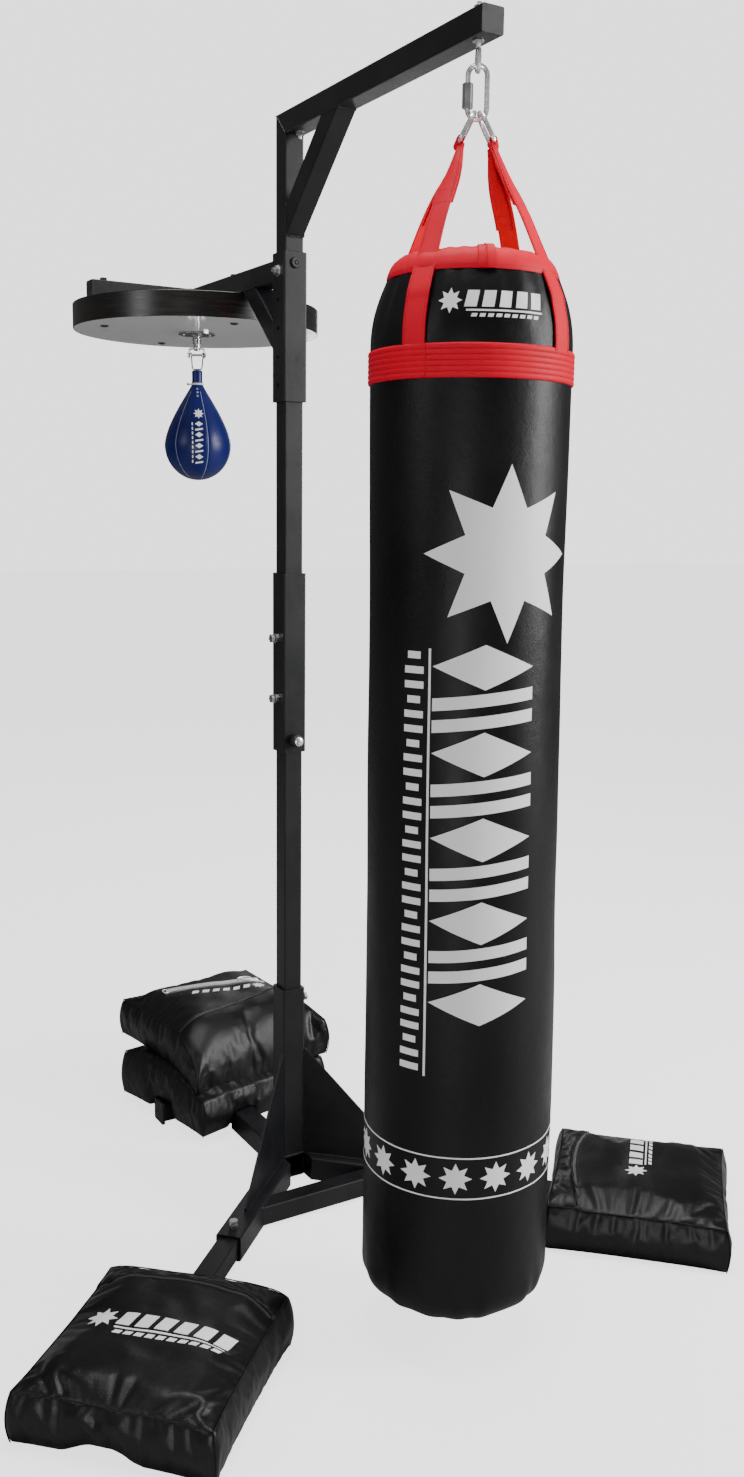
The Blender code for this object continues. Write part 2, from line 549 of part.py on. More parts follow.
def make_platform():
    half = SLEEVE / 2
    arm_z = BOARD_TOP + GAP + TUBE / 2
    arm = square_tube("platform_arm", "frame_steel", (0, half + GAP, arm_z), (0, ARM_END, arm_z),
                      TUBE, TUBE_WALL, TUBE_CORNER)
    bars = []
    for name, sign in (("platform_crossbar_left", -1), ("platform_crossbar_right", 1)):
        start = sign * (TUBE / 2 + GAP)
        bars.append(square_tube(name, "frame_steel", (start, BOARD_Y, arm_z),
                                (sign * CROSSBAR_HALF, BOARD_Y, arm_z), TUBE, TUBE_WALL, TUBE_CORNER))
    foot, under = half + GAP, BOARD_TOP
    strut = square_tube("platform_strut", "frame_steel", (0, foot, STRUT_FOOT_Z), (0, STRUT_HEAD_Y, under),
                        TUBE, TUBE_WALL, TUBE_CORNER,
                        cut_a=((0, foot, 0), (0, 1, 0)), cut_b=((0, 0, under), (0, 0, 1)))
    inner, rim = BOARD_R / 3, BOARD_R - BOARD_BEVEL
    board = turned("platform_board", "board_white",
                   [(inner, BOARD_UNDER), (rim, BOARD_UNDER), (BOARD_R, BOARD_UNDER + BOARD_BEVEL),
                    (BOARD_R, BOARD_TOP - BOARD_BEVEL), (rim, BOARD_TOP), (inner, BOARD_TOP)],
                   (0, BOARD_Y), 64)
    top = BOARD_UNDER - GAP
    flange = top - SWIVEL_THICK
    plate = turned("swivel_plate", "chrome",
                   [(SPINDLE_BORE, SPINDLE_TOP + SPINDLE_CLEAR), (SPINDLE_BORE, HOUSING_BOTTOM),
                    (HOUSING_R, HOUSING_BOTTOM), (HOUSING_R, flange - HOUSING_FILLET),
                    (HOUSING_R + HOUSING_FILLET, flange), (SWIVEL_R, flange), (SWIVEL_R, top)], (0, BOARD_Y), 24)
    return [arm, strut, board, plate] + bars


# ---------------------------------------------------------------- hanging hardware
def hang_point(across, forward, z):
    return Vector((0, BAG_Y, z)) + ACROSS * across + FORWARD * forward


def make_link():
    """Quick link: an oval wire with a gap on its left side, closed by a hexagonal sleeve nut."""
    low, high = LINK_BOTTOM + LINK_HALF, LINK_TOP - LINK_HALF
    path = [hang_point(-LINK_HALF, 0, LINK_GAP[1])]
    path += arc(hang_point(0, 0, high), ACROSS, UP, LINK_HALF, 180, 0, 10)
    path += arc(hang_point(0, 0, low), ACROSS, UP, LINK_HALF, 0, -180, 10)
    path.append(hang_point(-LINK_HALF, 0, LINK_GAP[0]))
    link = wire("quick_link", "chrome", path, LINK_WIRE, FORWARD, closed=False)
    parent_to("link_swing", hang_point(0, 0, LINK_TOP - LINK_WIRE), [link])

    bm = bmesh.new()
    rows = []
    for z, radius, hexagon in ((NUT_BOTTOM, NUT_R, True), (NUT_BOTTOM + NUT_LENGTH, NUT_R, True),
                               (NUT_BOTTOM + NUT_LENGTH, LINK_WIRE + GAP, False), (NUT_BOTTOM, LINK_WIRE + GAP, False)):
        row = []
        for k in range(12):
            angle = math.pi * k / 6
            reach = radius * math.cos(math.pi / 6) if hexagon and k % 2 else radius
            row.append(bm.verts.new(hang_point(-LINK_HALF + reach * math.cos(angle), reach * math.sin(angle), z)))
        rows.append(row)
    for a, b in zip(rows, rows[1:] + rows[:1]):
        for i in range(12):
            bm.faces.new((a[i], a[(i + 1) % 12], b[(i + 1) % 12], b[i]))
    nut = add_object("quick_link_nut", bm, "zinc_bolt", hang_point(-LINK_HALF, 0, NUT_BOTTOM))
    parent_to("link_nut_slide", hang_point(-LINK_HALF, 0, NUT_BOTTOM), [nut])


def ring_frame(sign):
    """Top point of a strap ring's wire and the direction in which the ring hangs."""
    inside = LINK_HALF - LINK_WIRE - RING_WIRE - GAP
    bend = LINK_BOTTOM + LINK_HALF
    top = hang_point(sign * inside * math.sin(RING_SPREAD), 0, bend - inside * math.cos(RING_SPREAD))
    hang = ACROSS * sign * math.sin(RING_TILT) + DOWN * math.cos(RING_TILT)
    return top, hang


def make_strap_ring(name, sign):
    top, hang = ring_frame(sign)
    path = arc(top + hang * RING_BEND, FORWARD, -hang, RING_HALF, 0, 180, 12, radius_v=RING_BEND)
    low = top + hang * (RING_LENGTH - RING_CORNER)
    out = FORWARD * (RING_HALF - RING_CORNER)
    path += arc(low - out, FORWARD, -hang, RING_CORNER, 180, 270, 4)
    path += arc(low + out, FORWARD, -hang, RING_CORNER, 270, 360, 4)
    return wire(name, "chrome", path, RING_WIRE, FORWARD.cross(hang).normalized())


def bag_profile():
    """Outer outline of the bag from its flat bottom to the top rim, as (radius, z) pairs."""
    return [*BAG_BASE, *BAG_SHOULDER]


def make_strap(name, azimuth, sign):
    """Webbing strap: from a ring's lower bar to the bag's shoulder, then down to the band."""
    top, hang = ring_frame(sign)
    angle = math.radians(azimuth)
    out = Vector((math.cos(angle), math.sin(angle), 0))
    round_bag = Vector((-math.sin(angle), math.cos(angle), 0))
    lift = STRAP_THICK / 2 + GAP
    toward = 1 if out.dot(FORWARD) > 0 else -1
    bar = top + hang * (RING_LENGTH + RING_WIRE + 2 * STRAP_THICK)
    start = bar + FORWARD * toward * (STRAP_NARROW / 2 + 0.001)
    across_start = FORWARD if round_bag.dot(FORWARD) > 0 else -FORWARD
    axis = Vector((0, BAG_Y, 0))

    def on_bag(radius, z):
        return axis + out * (radius + lift) + UP * z

    shoulder = on_bag(STRAP_BEND_R + 0.001, STRAP_BEND_Z)
    path = [start, start.lerp(shoulder, 0.12), start.lerp(shoulder, 0.3), start.lerp(shoulder, 0.6),
            shoulder, on_bag(0.1765, 1.939), on_bag(BAG_R + 0.0005, 1.905), on_bag(BAG_R, BAND_TOP + GAP)]
    widths = [STRAP_NARROW, STRAP_NARROW + 0.002, 0.034] + [STRAP_WIDTH] * 5
    turns = [0.0, 0.1, 0.45, 0.85, 1.0, 1.0, 1.0, 1.0]
    sections = []
    for i, (point, width, turn) in enumerate(zip(path, widths, turns)):
        before, after = path[max(i - 1, 0)], path[min(i + 1, len(path) - 1)]
        tangent = (after - before).normalized()
        side = across_start.lerp(round_bag, turn)
        side = (side - tangent * side.dot(tangent)).normalized() * width / 2
        thick = tangent.cross(side).normalized() * STRAP_THICK / 2
        sections.append([point - side - thick, point + side - thick, point + side + thick, point - side + thick])
    return loft(sections, name=name, slot="red_vinyl")


def make_heavy_bag():
    outer = bag_profile()
    inner = [(r - BAG_WALL, max(z, BAG_BOTTOM + BAG_WALL)) for r, z in outer]
    inner[-1] = (BAG_RIM_R - BAG_WALL, BAG_RIM)
    centre = (0, BAG_Y)
    shell = turned("bag_shell", "bag_vinyl", outer + inner[::-1], centre, 40)
    fill_profile = [(r - FILL_CLEAR, z) for r, z in inner]
    fill_profile[0] = (inner[0][0] - FILL_CLEAR, BAG_BOTTOM + BAG_WALL + GAP)
    fill_profile[1] = (inner[1][0] - FILL_CLEAR, inner[1][1] + FILL_CLEAR)
    fill_profile[-1] = (inner[-1][0] - 2 * FILL_CLEAR, BAG_RIM - 4 * FILL_CLEAR)
    fill = turned("bag_fill", "textile_fill", fill_profile, centre, 32)
    top = turned("bag_top", "red_vinyl", BAG_CROWN, centre, 40)
    inner_band = BAG_R + GAP
    band = turned("bag_band", "red_vinyl",
                  [(inner_band, BAND_BOTTOM), (inner_band + BAND_THICK, BAND_BOTTOM),
                   (inner_band + BAND_THICK, BAND_TOP), (inner_band, BAND_TOP)], centre, 40, hollow=True)
    pieces = [shell, fill, top, band]
    for side, sign in (("left", -1), ("right", 1)):
        pieces.append(make_strap_ring(f"{side}_strap_ring", sign))
        for end in ("front", "rear"):
            key = f"{end}_{side}"
            pieces.append(make_strap(f"{key}_strap", STRAP_AZIMUTHS[key], sign))
    parent_to("bag_swing", hang_point(0, 0, LINK_BOTTOM + LINK_WIRE), pieces)


# ---------------------------------------------------------------- speed bag
def speed_point(across, forward, z):
    return Vector((0, BOARD_Y, z)) + ACROSS * across + FORWARD * forward


def make_swivel():
    under = CLEVIS_TOP - CLEVIS_THICK
    collar = HOUSING_BOTTOM - SPINDLE_CLEAR / 2
    spindle = turned("swivel_spindle", "chrome",
                     [(SPINDLE_NECK_R, under - SPINDLE_HEAD), (SPINDLE_HEAD_R, under - SPINDLE_HEAD),
                      (SPINDLE_HEAD_R, under - GAP), (SPINDLE_NECK_R, under - GAP),
                      (SPINDLE_NECK_R, CLEVIS_TOP + GAP), (SPINDLE_FLANGE_R, CLEVIS_TOP + GAP),
                      (SPINDLE_FLANGE_R, collar), (SPINDLE_R, collar), (SPINDLE_R, SPINDLE_TOP)], (0, BOARD_Y), 16)
    outer = clevis_outline(CLEVIS_HALF, CLEVIS_TOP)
    inner = clevis_outline(CLEVIS_HALF - CLEVIS_THICK, CLEVIS_TOP - CLEVIS_THICK)
    outline = outer + list(reversed(inner))
    sections = [[speed_point(a, f, z) for a, z in outline] for f in (-CLEVIS_BAND / 2, CLEVIS_BAND / 2)]
    clevis = loft(sections, name="swivel_clevis", slot="chrome")
    drill(clevis, (0, BOARD_Y, CLEVIS_TOP + DRILL_OUT), (0, BOARD_Y, CLEVIS_TOP - DRILL_IN), CLEVIS_BORE)
    outside = CLEVIS_HALF + DRILL_OUT
    drill(clevis, speed_point(-outside, 0, PIN_Z), speed_point(outside, 0, PIN_Z), PIN_R + GAP)
    reach = CLEVIS_HALF + GAP
    far = PIN_HEAD + 2 * reach
    pin = bolt("clevis_pin", "chrome", speed_point(-reach - PIN_HEAD, 0, PIN_Z), ACROSS,
               [(0, PIN_HEAD_R, "hex"), (PIN_HEAD, PIN_HEAD_R, "hex"), (PIN_HEAD, PIN_R, "round"),
                (far, PIN_R, "round"), (far, PIN_HEAD_R, "round"), (far + PIN_RIVET, PIN_HEAD_R, "round")])
    parent_to("swivel_spin", (0, BOARD_Y, CLEVIS_TOP), [spindle, clevis, pin])


def clevis_outline(half, top):
    """One side of the inverted U, from the left foot over the top to the right foot."""
    corner = CLEVIS_CORNER
    turn = [(corner * math.cos(math.radians(d)), corner * math.sin(math.radians(d))) for d in (0, 30, 60, 90)]
    points = [(-half, CLEVIS_BOTTOM)]
    points += [(-half + corner - a, top - corner + b) for a, b in turn]
    points += [(half - corner + a, top - corner + b) for a, b in reversed(turn)]
    points.append((half, CLEVIS_BOTTOM))
    return points


def speed_profile():
    """Teardrop outline from the collar down to the bottom, as (radius, z) pairs."""
    bottom_height = SPEED_WIDE_Z - SPEED_BOTTOM
    lower = [(SPEED_R * math.cos(a), SPEED_WIDE_Z - bottom_height * math.sin(a))
             for a in [math.radians(d) for d in (0, 20, 40, 58, 74, 86)]]
    return [*SPEED_SHOULDER, *lower]


def make_speed_bag():
    """Bail wire on the clevis pin, stitched cover with a neck, and the rubber bladder inside it."""
    centre = (0, BOARD_Y)
    hook = PIN_R + BAIL_WIRE + GAP
    path = []
    for sign in (-1, 1):
        over = arc(speed_point(sign * BAIL_TOP_HALF, 0, PIN_Z), FORWARD, UP, hook, 200, 0, 8)
        leg = [speed_point(sign * (BAIL_BOTTOM_HALF + 0.0012), 0.001, BAIL_BOTTOM + 0.004),
               speed_point(sign * (BAIL_BOTTOM_HALF - 0.0010), 0, BAIL_BOTTOM)]
        path += over + leg if sign < 0 else list(reversed(over + leg))
    bail = wire("speed_bag_bail", "chrome", path, BAIL_WIRE, ACROSS, closed=False, sides=6)

    outer = speed_profile()
    neck = [(NECK_R - 0.002, NECK_TOP), (NECK_R, NECK_TOP - 0.003), (NECK_R, COLLAR_Z + 0.006)]
    inner_body = [(max(r - SPEED_WALL, 0.004), min(z, COLLAR_Z) + (SPEED_WALL if z < SPEED_WIDE_Z else 0))
                  for r, z in outer]
    inner = [(0.006, NECK_TOP), (0.006, COLLAR_Z - 0.004)] + inner_body[1:]
    profile = list(reversed(neck + outer)) + inner
    cover = turned("speed_bag_cover", "speed_vinyl", profile, centre, 32)
    bladder_profile = [(r - BLADDER_CLEAR, z) for r, z in inner_body[1:]]
    bladder_profile[-2:] = [(r, z + BLADDER_CLEAR) for r, z in bladder_profile[-2:]]
    bladder = turned("speed_bag_bladder", "bladder_rubber", bladder_profile, centre, 24)
    parent_to("speed_bag_swing", (0, BOARD_Y, PIN_Z), [bail, cover, bladder])


def main():
    clear_scene()
    make_base()
    make_legs()
    make_rear_sandbags()
    make_mast()
    make_head()
    make_link()
    make_heavy_bag()
    make_swivel()
    make_speed_bag()


main()
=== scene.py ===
"""Looks of the punching bag on its stand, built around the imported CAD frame."""

import json
from math import atan2, cos, exp, hypot, pi, radians, sin, sqrt, tan

import bmesh
import bpy
from mathutils import Matrix, Vector, noise

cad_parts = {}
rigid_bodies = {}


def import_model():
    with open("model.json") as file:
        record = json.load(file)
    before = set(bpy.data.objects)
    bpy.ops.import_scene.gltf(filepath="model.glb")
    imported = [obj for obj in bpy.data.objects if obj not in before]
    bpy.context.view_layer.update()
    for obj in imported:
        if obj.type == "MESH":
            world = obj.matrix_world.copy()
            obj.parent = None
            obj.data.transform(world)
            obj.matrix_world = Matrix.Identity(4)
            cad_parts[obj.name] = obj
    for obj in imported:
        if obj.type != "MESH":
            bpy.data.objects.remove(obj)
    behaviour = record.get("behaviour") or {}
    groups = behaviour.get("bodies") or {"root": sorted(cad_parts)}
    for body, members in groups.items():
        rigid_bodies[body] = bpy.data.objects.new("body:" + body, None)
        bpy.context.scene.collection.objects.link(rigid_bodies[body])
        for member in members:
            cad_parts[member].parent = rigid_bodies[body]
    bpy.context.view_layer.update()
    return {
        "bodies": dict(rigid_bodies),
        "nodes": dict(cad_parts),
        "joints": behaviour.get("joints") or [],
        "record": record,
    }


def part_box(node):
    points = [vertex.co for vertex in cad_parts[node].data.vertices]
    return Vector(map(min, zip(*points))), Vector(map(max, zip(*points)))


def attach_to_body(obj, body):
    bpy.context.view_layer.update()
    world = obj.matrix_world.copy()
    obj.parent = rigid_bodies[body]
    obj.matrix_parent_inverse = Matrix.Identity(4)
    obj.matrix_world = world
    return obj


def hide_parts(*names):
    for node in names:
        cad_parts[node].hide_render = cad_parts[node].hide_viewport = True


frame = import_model()
UP = Vector((0, 0, 1))


def spoke(angle, z=0.0):
    """Level direction of an azimuth, tipped upwards by z."""
    return Vector((cos(angle), sin(angle), z))


def turns(steps):
    """The angles of steps equal parts of a full turn."""
    return [2 * pi * k / steps for k in range(steps)]


# Sizes that the CAD model shares, in metres
HANG_TURN = radians(31.0)
LEG_ANGLE = radians(46.0)
ACROSS = Vector((cos(HANG_TURN), -sin(HANG_TURN), 0))
FORWARD = Vector((sin(HANG_TURN), cos(HANG_TURN), 0))
LEGS = {"left": Vector((-sin(LEG_ANGLE), -cos(LEG_ANGLE), 0)),
        "right": Vector((sin(LEG_ANGLE), -cos(LEG_ANGLE), 0))}

BAG_LOW, BAG_HIGH = (Vector(corner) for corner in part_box("bag_shell"))
BAG_Y = ((BAG_LOW + BAG_HIGH) / 2).y
BAG_R = (BAG_HIGH[0] - BAG_LOW[0]) / 2
BAG_BOTTOM, BAG_RIM = BAG_LOW[2], BAG_HIGH[2]
BAG_RIM_R, BAG_FOOT_R = 0.150, 0.122
FOOT_TOP, SHOULDER_LOW = 0.162, 1.880       # the bag's straight part
BAND_BOTTOM, BAND_TOP = (corner[2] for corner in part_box("bag_band"))
FACING = radians(-125.0)                    # azimuth of the bag's printed front
BOARD_Y = (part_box("platform_board")[0][1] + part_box("platform_board")[1][1]) / 2
STRAP_WIDTH, STRAP_THICK = 0.045, 0.0026
STRAP_ASIDE = 0.0125                        # how far each strap's loop is from the middle of its ring's bar
LOOP_R = 0.0061                             # bend of a strap round the bar
SEWN_AT = 0.86                              # share of a strap's half width where its seams run
STRAP_AZIMUTHS = {"front_left": 203.0, "rear_left": 113.0, "front_right": 293.0, "rear_right": 23.0}
INK_THICK = 0.00045
STAR = (8, 0.56)                            # points and inner share of the printed stars


# ================================================================ materials
class Graph:
    """A small helper for building one material's node graph."""

    def __init__(self, name, **constants):
        self.material = bpy.data.materials.new(name)
        self.material.use_nodes = True
        self.tree = self.material.node_tree
        self.shader = self.tree.nodes["Principled BSDF"]
        self.coords = self.node("TexCoord", "Object")
        for key, value in constants.items():
            self.shader.inputs[key.replace("_", " ")].default_value = value

    def node(self, kind, output, inputs=(), **settings):
        """Add a node, set its inputs to constants or to other nodes' outputs, and give its output."""
        node = self.tree.nodes.new(f"ShaderNode{kind}")
        for key, value in settings.items():
            setattr(node, key, value)
        for socket, value in dict(inputs).items():
            if isinstance(value, bpy.types.NodeSocket):
                self.tree.links.new(value, node.inputs[socket])
            else:
                node.inputs[socket].default_value = value
        return node.outputs[output]

    def noise(self, scale, detail=3.0, rough=0.5, stretch=None):
        coords = self.node("Mapping", "Vector", {"Scale": stretch, "Vector": self.coords}) if stretch else self.coords
        return self.node("TexNoise", "Fac", {"Scale": scale, "Detail": detail, "Roughness": rough, "Vector": coords})

    def grain(self, scale):
        return self.node("TexVoronoi", "Distance", {"Scale": scale, "Vector": self.coords})

    def remap(self, value, low, high, out_low=0.0, out_high=1.0):
        return self.node("MapRange", "Result", {"Value": value, "From Min": low, "From Max": high,
                                                "To Min": out_low, "To Max": out_high})

    def mix(self, factor, a, b):
        a, b = ((*colour, 1.0) if isinstance(colour, tuple) else colour for colour in (a, b))
        return self.node("Mix", 2, {"Factor": factor, 6: a, 7: b}, data_type="RGBA")

    def add(self, a, b):
        return self.node("Math", 0, {0: a, 1: b}, operation="ADD")

    def coat(self, colour, roughness, *bumps):
        """Link the colour, the roughness and a stack of bumps, each a height and its depth in metres."""
        links = {"Base Color": colour, "Roughness": roughness}
        for height, depth in bumps:
            inputs = {"Strength": 1.0, "Distance": depth, "Height": height}
            if "Normal" in links:
                inputs["Normal"] = links["Normal"]
            links["Normal"] = self.node("Bump", "Normal", inputs)
        for socket, output in links.items():
            self.tree.links.new(output, self.shader.inputs[socket])
        return self.material


def dim(colour, share):
    return tuple(c * share for c in colour)


def powder_coat():
    """Satin black powder coat: fine orange peel, faint dust and rubbed patches."""
    g = Graph("powder_coat", Specular_IOR_Level=0.31)
    patches, fine = g.noise(9.0, 4.0, 0.6), g.noise(140.0, 3.0, 0.55)
    tone = g.mix(g.remap(patches, 0.35, 0.7), (0.006, 0.0062, 0.007), (0.011, 0.0112, 0.0125))
    return g.coat(g.mix(g.remap(fine, 0.62, 0.80, 0.0, 0.35), tone, (0.030, 0.031, 0.034)),
                  g.add(g.remap(patches, 0.3, 0.7, 0.33, 0.43), g.remap(fine, 0.3, 0.7, -0.03, 0.04)),
                  (g.noise(520.0, 2.0), 0.00012), (g.noise(60.0, 2.0), 0.00010))


def plated(name, tone, low, high, metallic=1.0):
    """Plated metal with hairline scratches and a little clouding."""
    g = Graph(name, Metallic=metallic)
    cloud, hair = g.noise(70.0, 4.0, 0.6), g.noise(260.0, 2.0, stretch=(1.0, 1.0, 0.12))
    return g.coat(g.mix(g.remap(cloud, 0.3, 0.7), dim(tone, 0.90), tone),
                  g.add(g.remap(cloud, 0.3, 0.7, low, high), g.remap(hair, 0.55, 0.75, 0.0, 0.08)), (hair, 0.000012))


def moulded_plastic():
    g = Graph("moulded_plastic", Specular_IOR_Level=0.45)
    return g.coat(g.mix(g.noise(40.0), (0.006, 0.006, 0.007), (0.013, 0.013, 0.014)),
                  g.remap(g.noise(60.0), 0.3, 0.7, 0.46, 0.60), (g.grain(900.0), 0.00012))


def vinyl(name, dark, light, rough, pebbles=620.0, wrinkle=0.0004, shine=0.4):
    """Coated fabric: pebble grain, slow colour drift, scuffs that are paler and rougher."""
    g = Graph(name, Specular_IOR_Level=shine)
    drift, pebble = g.noise(5.0, 4.0, 0.55), g.grain(pebbles)
    scuff = g.noise(34.0, 6.0, 0.68, stretch=(1.0, 1.0, 0.45))
    base = g.mix(g.remap(drift, 0.3, 0.7), dark, light)
    pale = tuple(min(1.0, c * 1.4 + 0.004) for c in light)
    base = g.mix(g.remap(scuff, 0.60, 0.80, 0.0, 0.35), base, pale)
    return g.coat(g.mix(g.remap(pebble, 0.0, 0.25, 0.30, 0.0), base, dim(dark, 0.55)),
                  g.add(g.remap(drift, 0.3, 0.7, rough - 0.05, rough + 0.05), g.remap(scuff, 0.55, 0.8, 0.0, 0.12)),
                  (g.noise(28.0, 4.0, 0.6), wrinkle), (pebble, 0.00016))


def laminate():
    """Pale grey melamine face of the board."""
    g = Graph("board_laminate", Specular_IOR_Level=0.5)
    return g.coat(g.mix(g.remap(g.noise(3.0), 0.35, 0.65), (0.90, 0.90, 0.91), (0.95, 0.95, 0.96)),
                  g.remap(g.noise(14.0), 0.3, 0.7, 0.08, 0.13), (g.noise(260.0, 2.0), 0.00002))


def edge_band():
    """Glossy black edge banding with a faint streaked grain that runs round the board."""
    g = Graph("board_edge_band", Specular_IOR_Level=0.5)
    streak = g.noise(26.0, 6.0, 0.65, stretch=(0.35, 0.35, 7.0))
    return g.coat(g.mix(g.remap(streak, 0.45, 0.75), (0.0050, 0.0045, 0.0042), (0.018, 0.012, 0.0095)),
                  g.remap(streak, 0.3, 0.7, 0.24, 0.36), (streak, 0.00008))


def print_ink(name, tone):
    """Screen-printed ink: slightly cracked and uneven, with the vinyl's grain showing through."""
    g = Graph(name, Specular_IOR_Level=0.4)
    wear = g.noise(190.0, 5.0, 0.7)
    return g.coat(g.mix(g.remap(wear, 0.62, 0.78, 0.0, 0.45), tone, dim(tone, 0.45)),
                  g.remap(wear, 0.3, 0.7, 0.42, 0.58), (g.grain(620.0), 0.00012))


def thread(name, tone):
    g = Graph(name, Sheen_Weight=0.3)
    twist = g.node("TexWave", "Fac", {"Scale": 420.0, "Distortion": 1.0, "Vector": g.coords},
                   bands_direction="DIAGONAL")
    return g.coat(g.mix(twist, dim(tone, 0.6), tone), g.remap(twist, 0.0, 1.0, 0.6, 0.75), (twist, 0.0001))


def floor_paint():
    """Matt grey floor that the camera alone sees as white."""
    g = Graph("studio_floor", Specular_IOR_Level=0.1, Roughness=0.8, Emission_Color=(1.0, 1.0, 1.0, 1.0))
    seen = g.node("LightPath", "Is Camera Ray")
    g.tree.links.new(g.mix(g.noise(1.2, 2.0), (0.42, 0.42, 0.42), (0.44, 0.44, 0.44)), g.shader.inputs["Base Color"])
    g.tree.links.new(g.remap(seen, 0.0, 1.0, 0.0, 1.9), g.shader.inputs["Emission Strength"])
    return g.material


BLACK_VINYL = (0.0030, 0.0030, 0.0034), (0.0055, 0.0055, 0.0063)
# Each material, with the slot of the record that it fills unless a piece says otherwise
MATERIALS = {
    "steel": (powder_coat(), "frame_steel"),
    "zinc": (plated("zinc_plate", (0.56, 0.555, 0.55), 0.30, 0.42), "zinc_bolt"),
    "chrome": (plated("chrome_plate", (0.86, 0.86, 0.87), 0.20, 0.32, 0.80), "chrome"),
    # swivel: a darker copy of the chrome for the swivel parts under the board, painted shade
    "swivel": (plated("swivel_chrome_painted_shade", (0.40, 0.40, 0.41), 0.16, 0.26), "chrome"),
    "zip": (plated("zip_metal", (0.95, 0.95, 0.95), 0.40, 0.52, 0.70), "zinc_bolt"),
    "plastic": (moulded_plastic(), "cap_plastic"),
    "bag": (vinyl("bag_vinyl_black", *BLACK_VINYL, 0.40, wrinkle=0.0010, shine=0.19), "bag_vinyl"),
    "sandbag": (vinyl("sandbag_vinyl_black", *BLACK_VINYL, 0.36, wrinkle=0.0010, shine=0.27), "sandbag_vinyl"),
    "red": (vinyl("strap_vinyl_red", (0.62, 0.0016, 0.020), (0.76, 0.003, 0.028), 0.54, wrinkle=0.0005, shine=0.12),
            "red_vinyl"),
    "blue": (vinyl("speed_vinyl_blue", (0.0024, 0.0056, 0.078), (0.0044, 0.0100, 0.122), 0.34, pebbles=480.0,
                   shine=0.30), "speed_vinyl"),
    "collar": (vinyl("collar_white", (0.60, 0.60, 0.60), (0.72, 0.72, 0.72), 0.45), "board_white"),
    "laminate": (laminate(), "board_white"),
    "edge": (edge_band(), "cap_plastic"),
    "ink": (print_ink("print_white", (0.80, 0.80, 0.79)), "board_white"),
    "thread_red": (thread("thread_red", (0.10, 0.003, 0.004)), "red_vinyl"),
    "thread_black": (thread("thread_black", (0.014, 0.014, 0.015)), "sandbag_vinyl"),
    "thread_pale": (thread("thread_pale", (0.55, 0.58, 0.66)), "speed_vinyl"),
    # crease: a near-black matte strip, a painted shadow of the fold beside the sandbags' hem ridge
    "crease_shadow": (thread("painted_fold_shadow", (0.0022, 0.0022, 0.0024)), "sandbag_vinyl"),
    "floor": (floor_paint(), None),
}


# ================================================================ mesh helpers
def add_mesh(name, bm, material, smooth=35.0, recalc=True):
    if recalc:
        bmesh.ops.recalc_face_normals(bm, faces=bm.faces)
    mesh = bpy.data.meshes.new(name)
    bm.to_mesh(mesh)
    bm.free()
    mesh.shade_smooth()
    if smooth:
        mesh.set_sharp_from_angle(angle=radians(smooth))
    mesh.materials.append(MATERIALS[material][0])
    obj = bpy.data.objects.new(name, mesh)
    bpy.context.collection.objects.link(obj)
    return obj


def attach(obj, body, slot, replaces=()):
    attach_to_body(obj, body)
    if replaces:
        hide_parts(*replaces)
    return obj


def piece(name, bm, material, body, replaces=(), smooth=35.0, slot=None):
    """Make a named piece that rides on a body."""
    return attach(add_mesh(name, bm, material, smooth), body, slot or MATERIALS[material][1], replaces)


def skin(bm, rings, closed_path=False):
    """Join equal-length point rings with quads; open ends are each closed by one face."""
    rows = [[bm.verts.new(p) for p in ring] for ring in rings]
    for a, b in list(zip(rows, rows[1:])) + ([(rows[-1], rows[0])] if closed_path else []):
        for i in range(len(a)):
            j = (i + 1) % len(a)
            bm.faces.new((a[i], a[j], b[j], b[i]))
    if not closed_path:
        for row in (rows[0], rows[-1]):
            bm.faces.new(row)


def hoop(centre, side, other, steps):
    """Ring of points about a centre, on an ellipse with the two given half axes."""
    return [centre + side * cos(t) + other * sin(t) for t in turns(steps)]


def rod(bm, path, radius, hint, closed=False, sides=12):
    """Round bar along a path, its section carried along from near hint; radius may depend on the place 0..1."""
    rings = []
    normal = hint
    for i, point in enumerate(path):
        before = path[i - 1] if closed or i else path[0]
        after = path[(i + 1) % len(path)] if closed or i < len(path) - 1 else path[-1]
        tangent = (after - before).normalized()
        normal = (normal - tangent * normal.dot(tangent)).normalized()
        size = radius(i / (len(path) - 1)) if callable(radius) else radius
        rings.append(hoop(point, normal * size, tangent.cross(normal) * size, sides))
    skin(bm, rings, closed)


def ribbon(bm, path, half, thick):
    """Flat strip along a path that lies level, half wide to either side."""
    rings = []
    for before, point, after in zip(path[:1] + path, path, path[1:] + path[-1:]):
        side = (after - before).cross(UP).normalized() * half
        rings.append([point + side * a + UP * thick * b for a, b in ((-1, -1), (1, -1), (1, 1), (-1, 1))])
    skin(bm, rings)


def axes(axis):
    """A unit direction and two more at right angles to it."""
    axis = Vector(axis).normalized()
    side = axis.orthogonal().normalized()
    return axis, side, axis.cross(side)


def turned(bm, profile, centre, axis=UP, steps=32, closed=False):
    """Turn (radius, height) pairs about an axis through centre."""
    axis, side, other = axes(axis)
    rings = [hoop(Vector(centre) + axis * height, side * radius, other * radius, steps) for radius, height in profile]
    skin(bm, rings, closed)


def hexagon(bm, centre, axis, across, height, chamfer=0.0009):
    """Hex nut or bolt head, its corners chamfered by a turned cone."""
    axis, side, other = axes(axis)
    corner = across / sqrt(3)
    rings = []
    for level, trim in ((0.0, chamfer), (chamfer * 0.6, 0.0), (height - chamfer * 0.6, 0.0), (height, chamfer)):
        ring = []
        for angle in turns(24):
            fold = (angle % (pi / 3)) - pi / 6
            reach = min(across / 2 / cos(fold), corner - trim)
            ring.append(Vector(centre) + axis * level + (side * cos(angle) + other * sin(angle)) * reach)
        rings.append(ring)
    skin(bm, rings)


def smooth_step(value, low, high):
    t = min(1.0, max(0.0, (value - low) / (high - low)))
    return t * t * (3 - 2 * t)


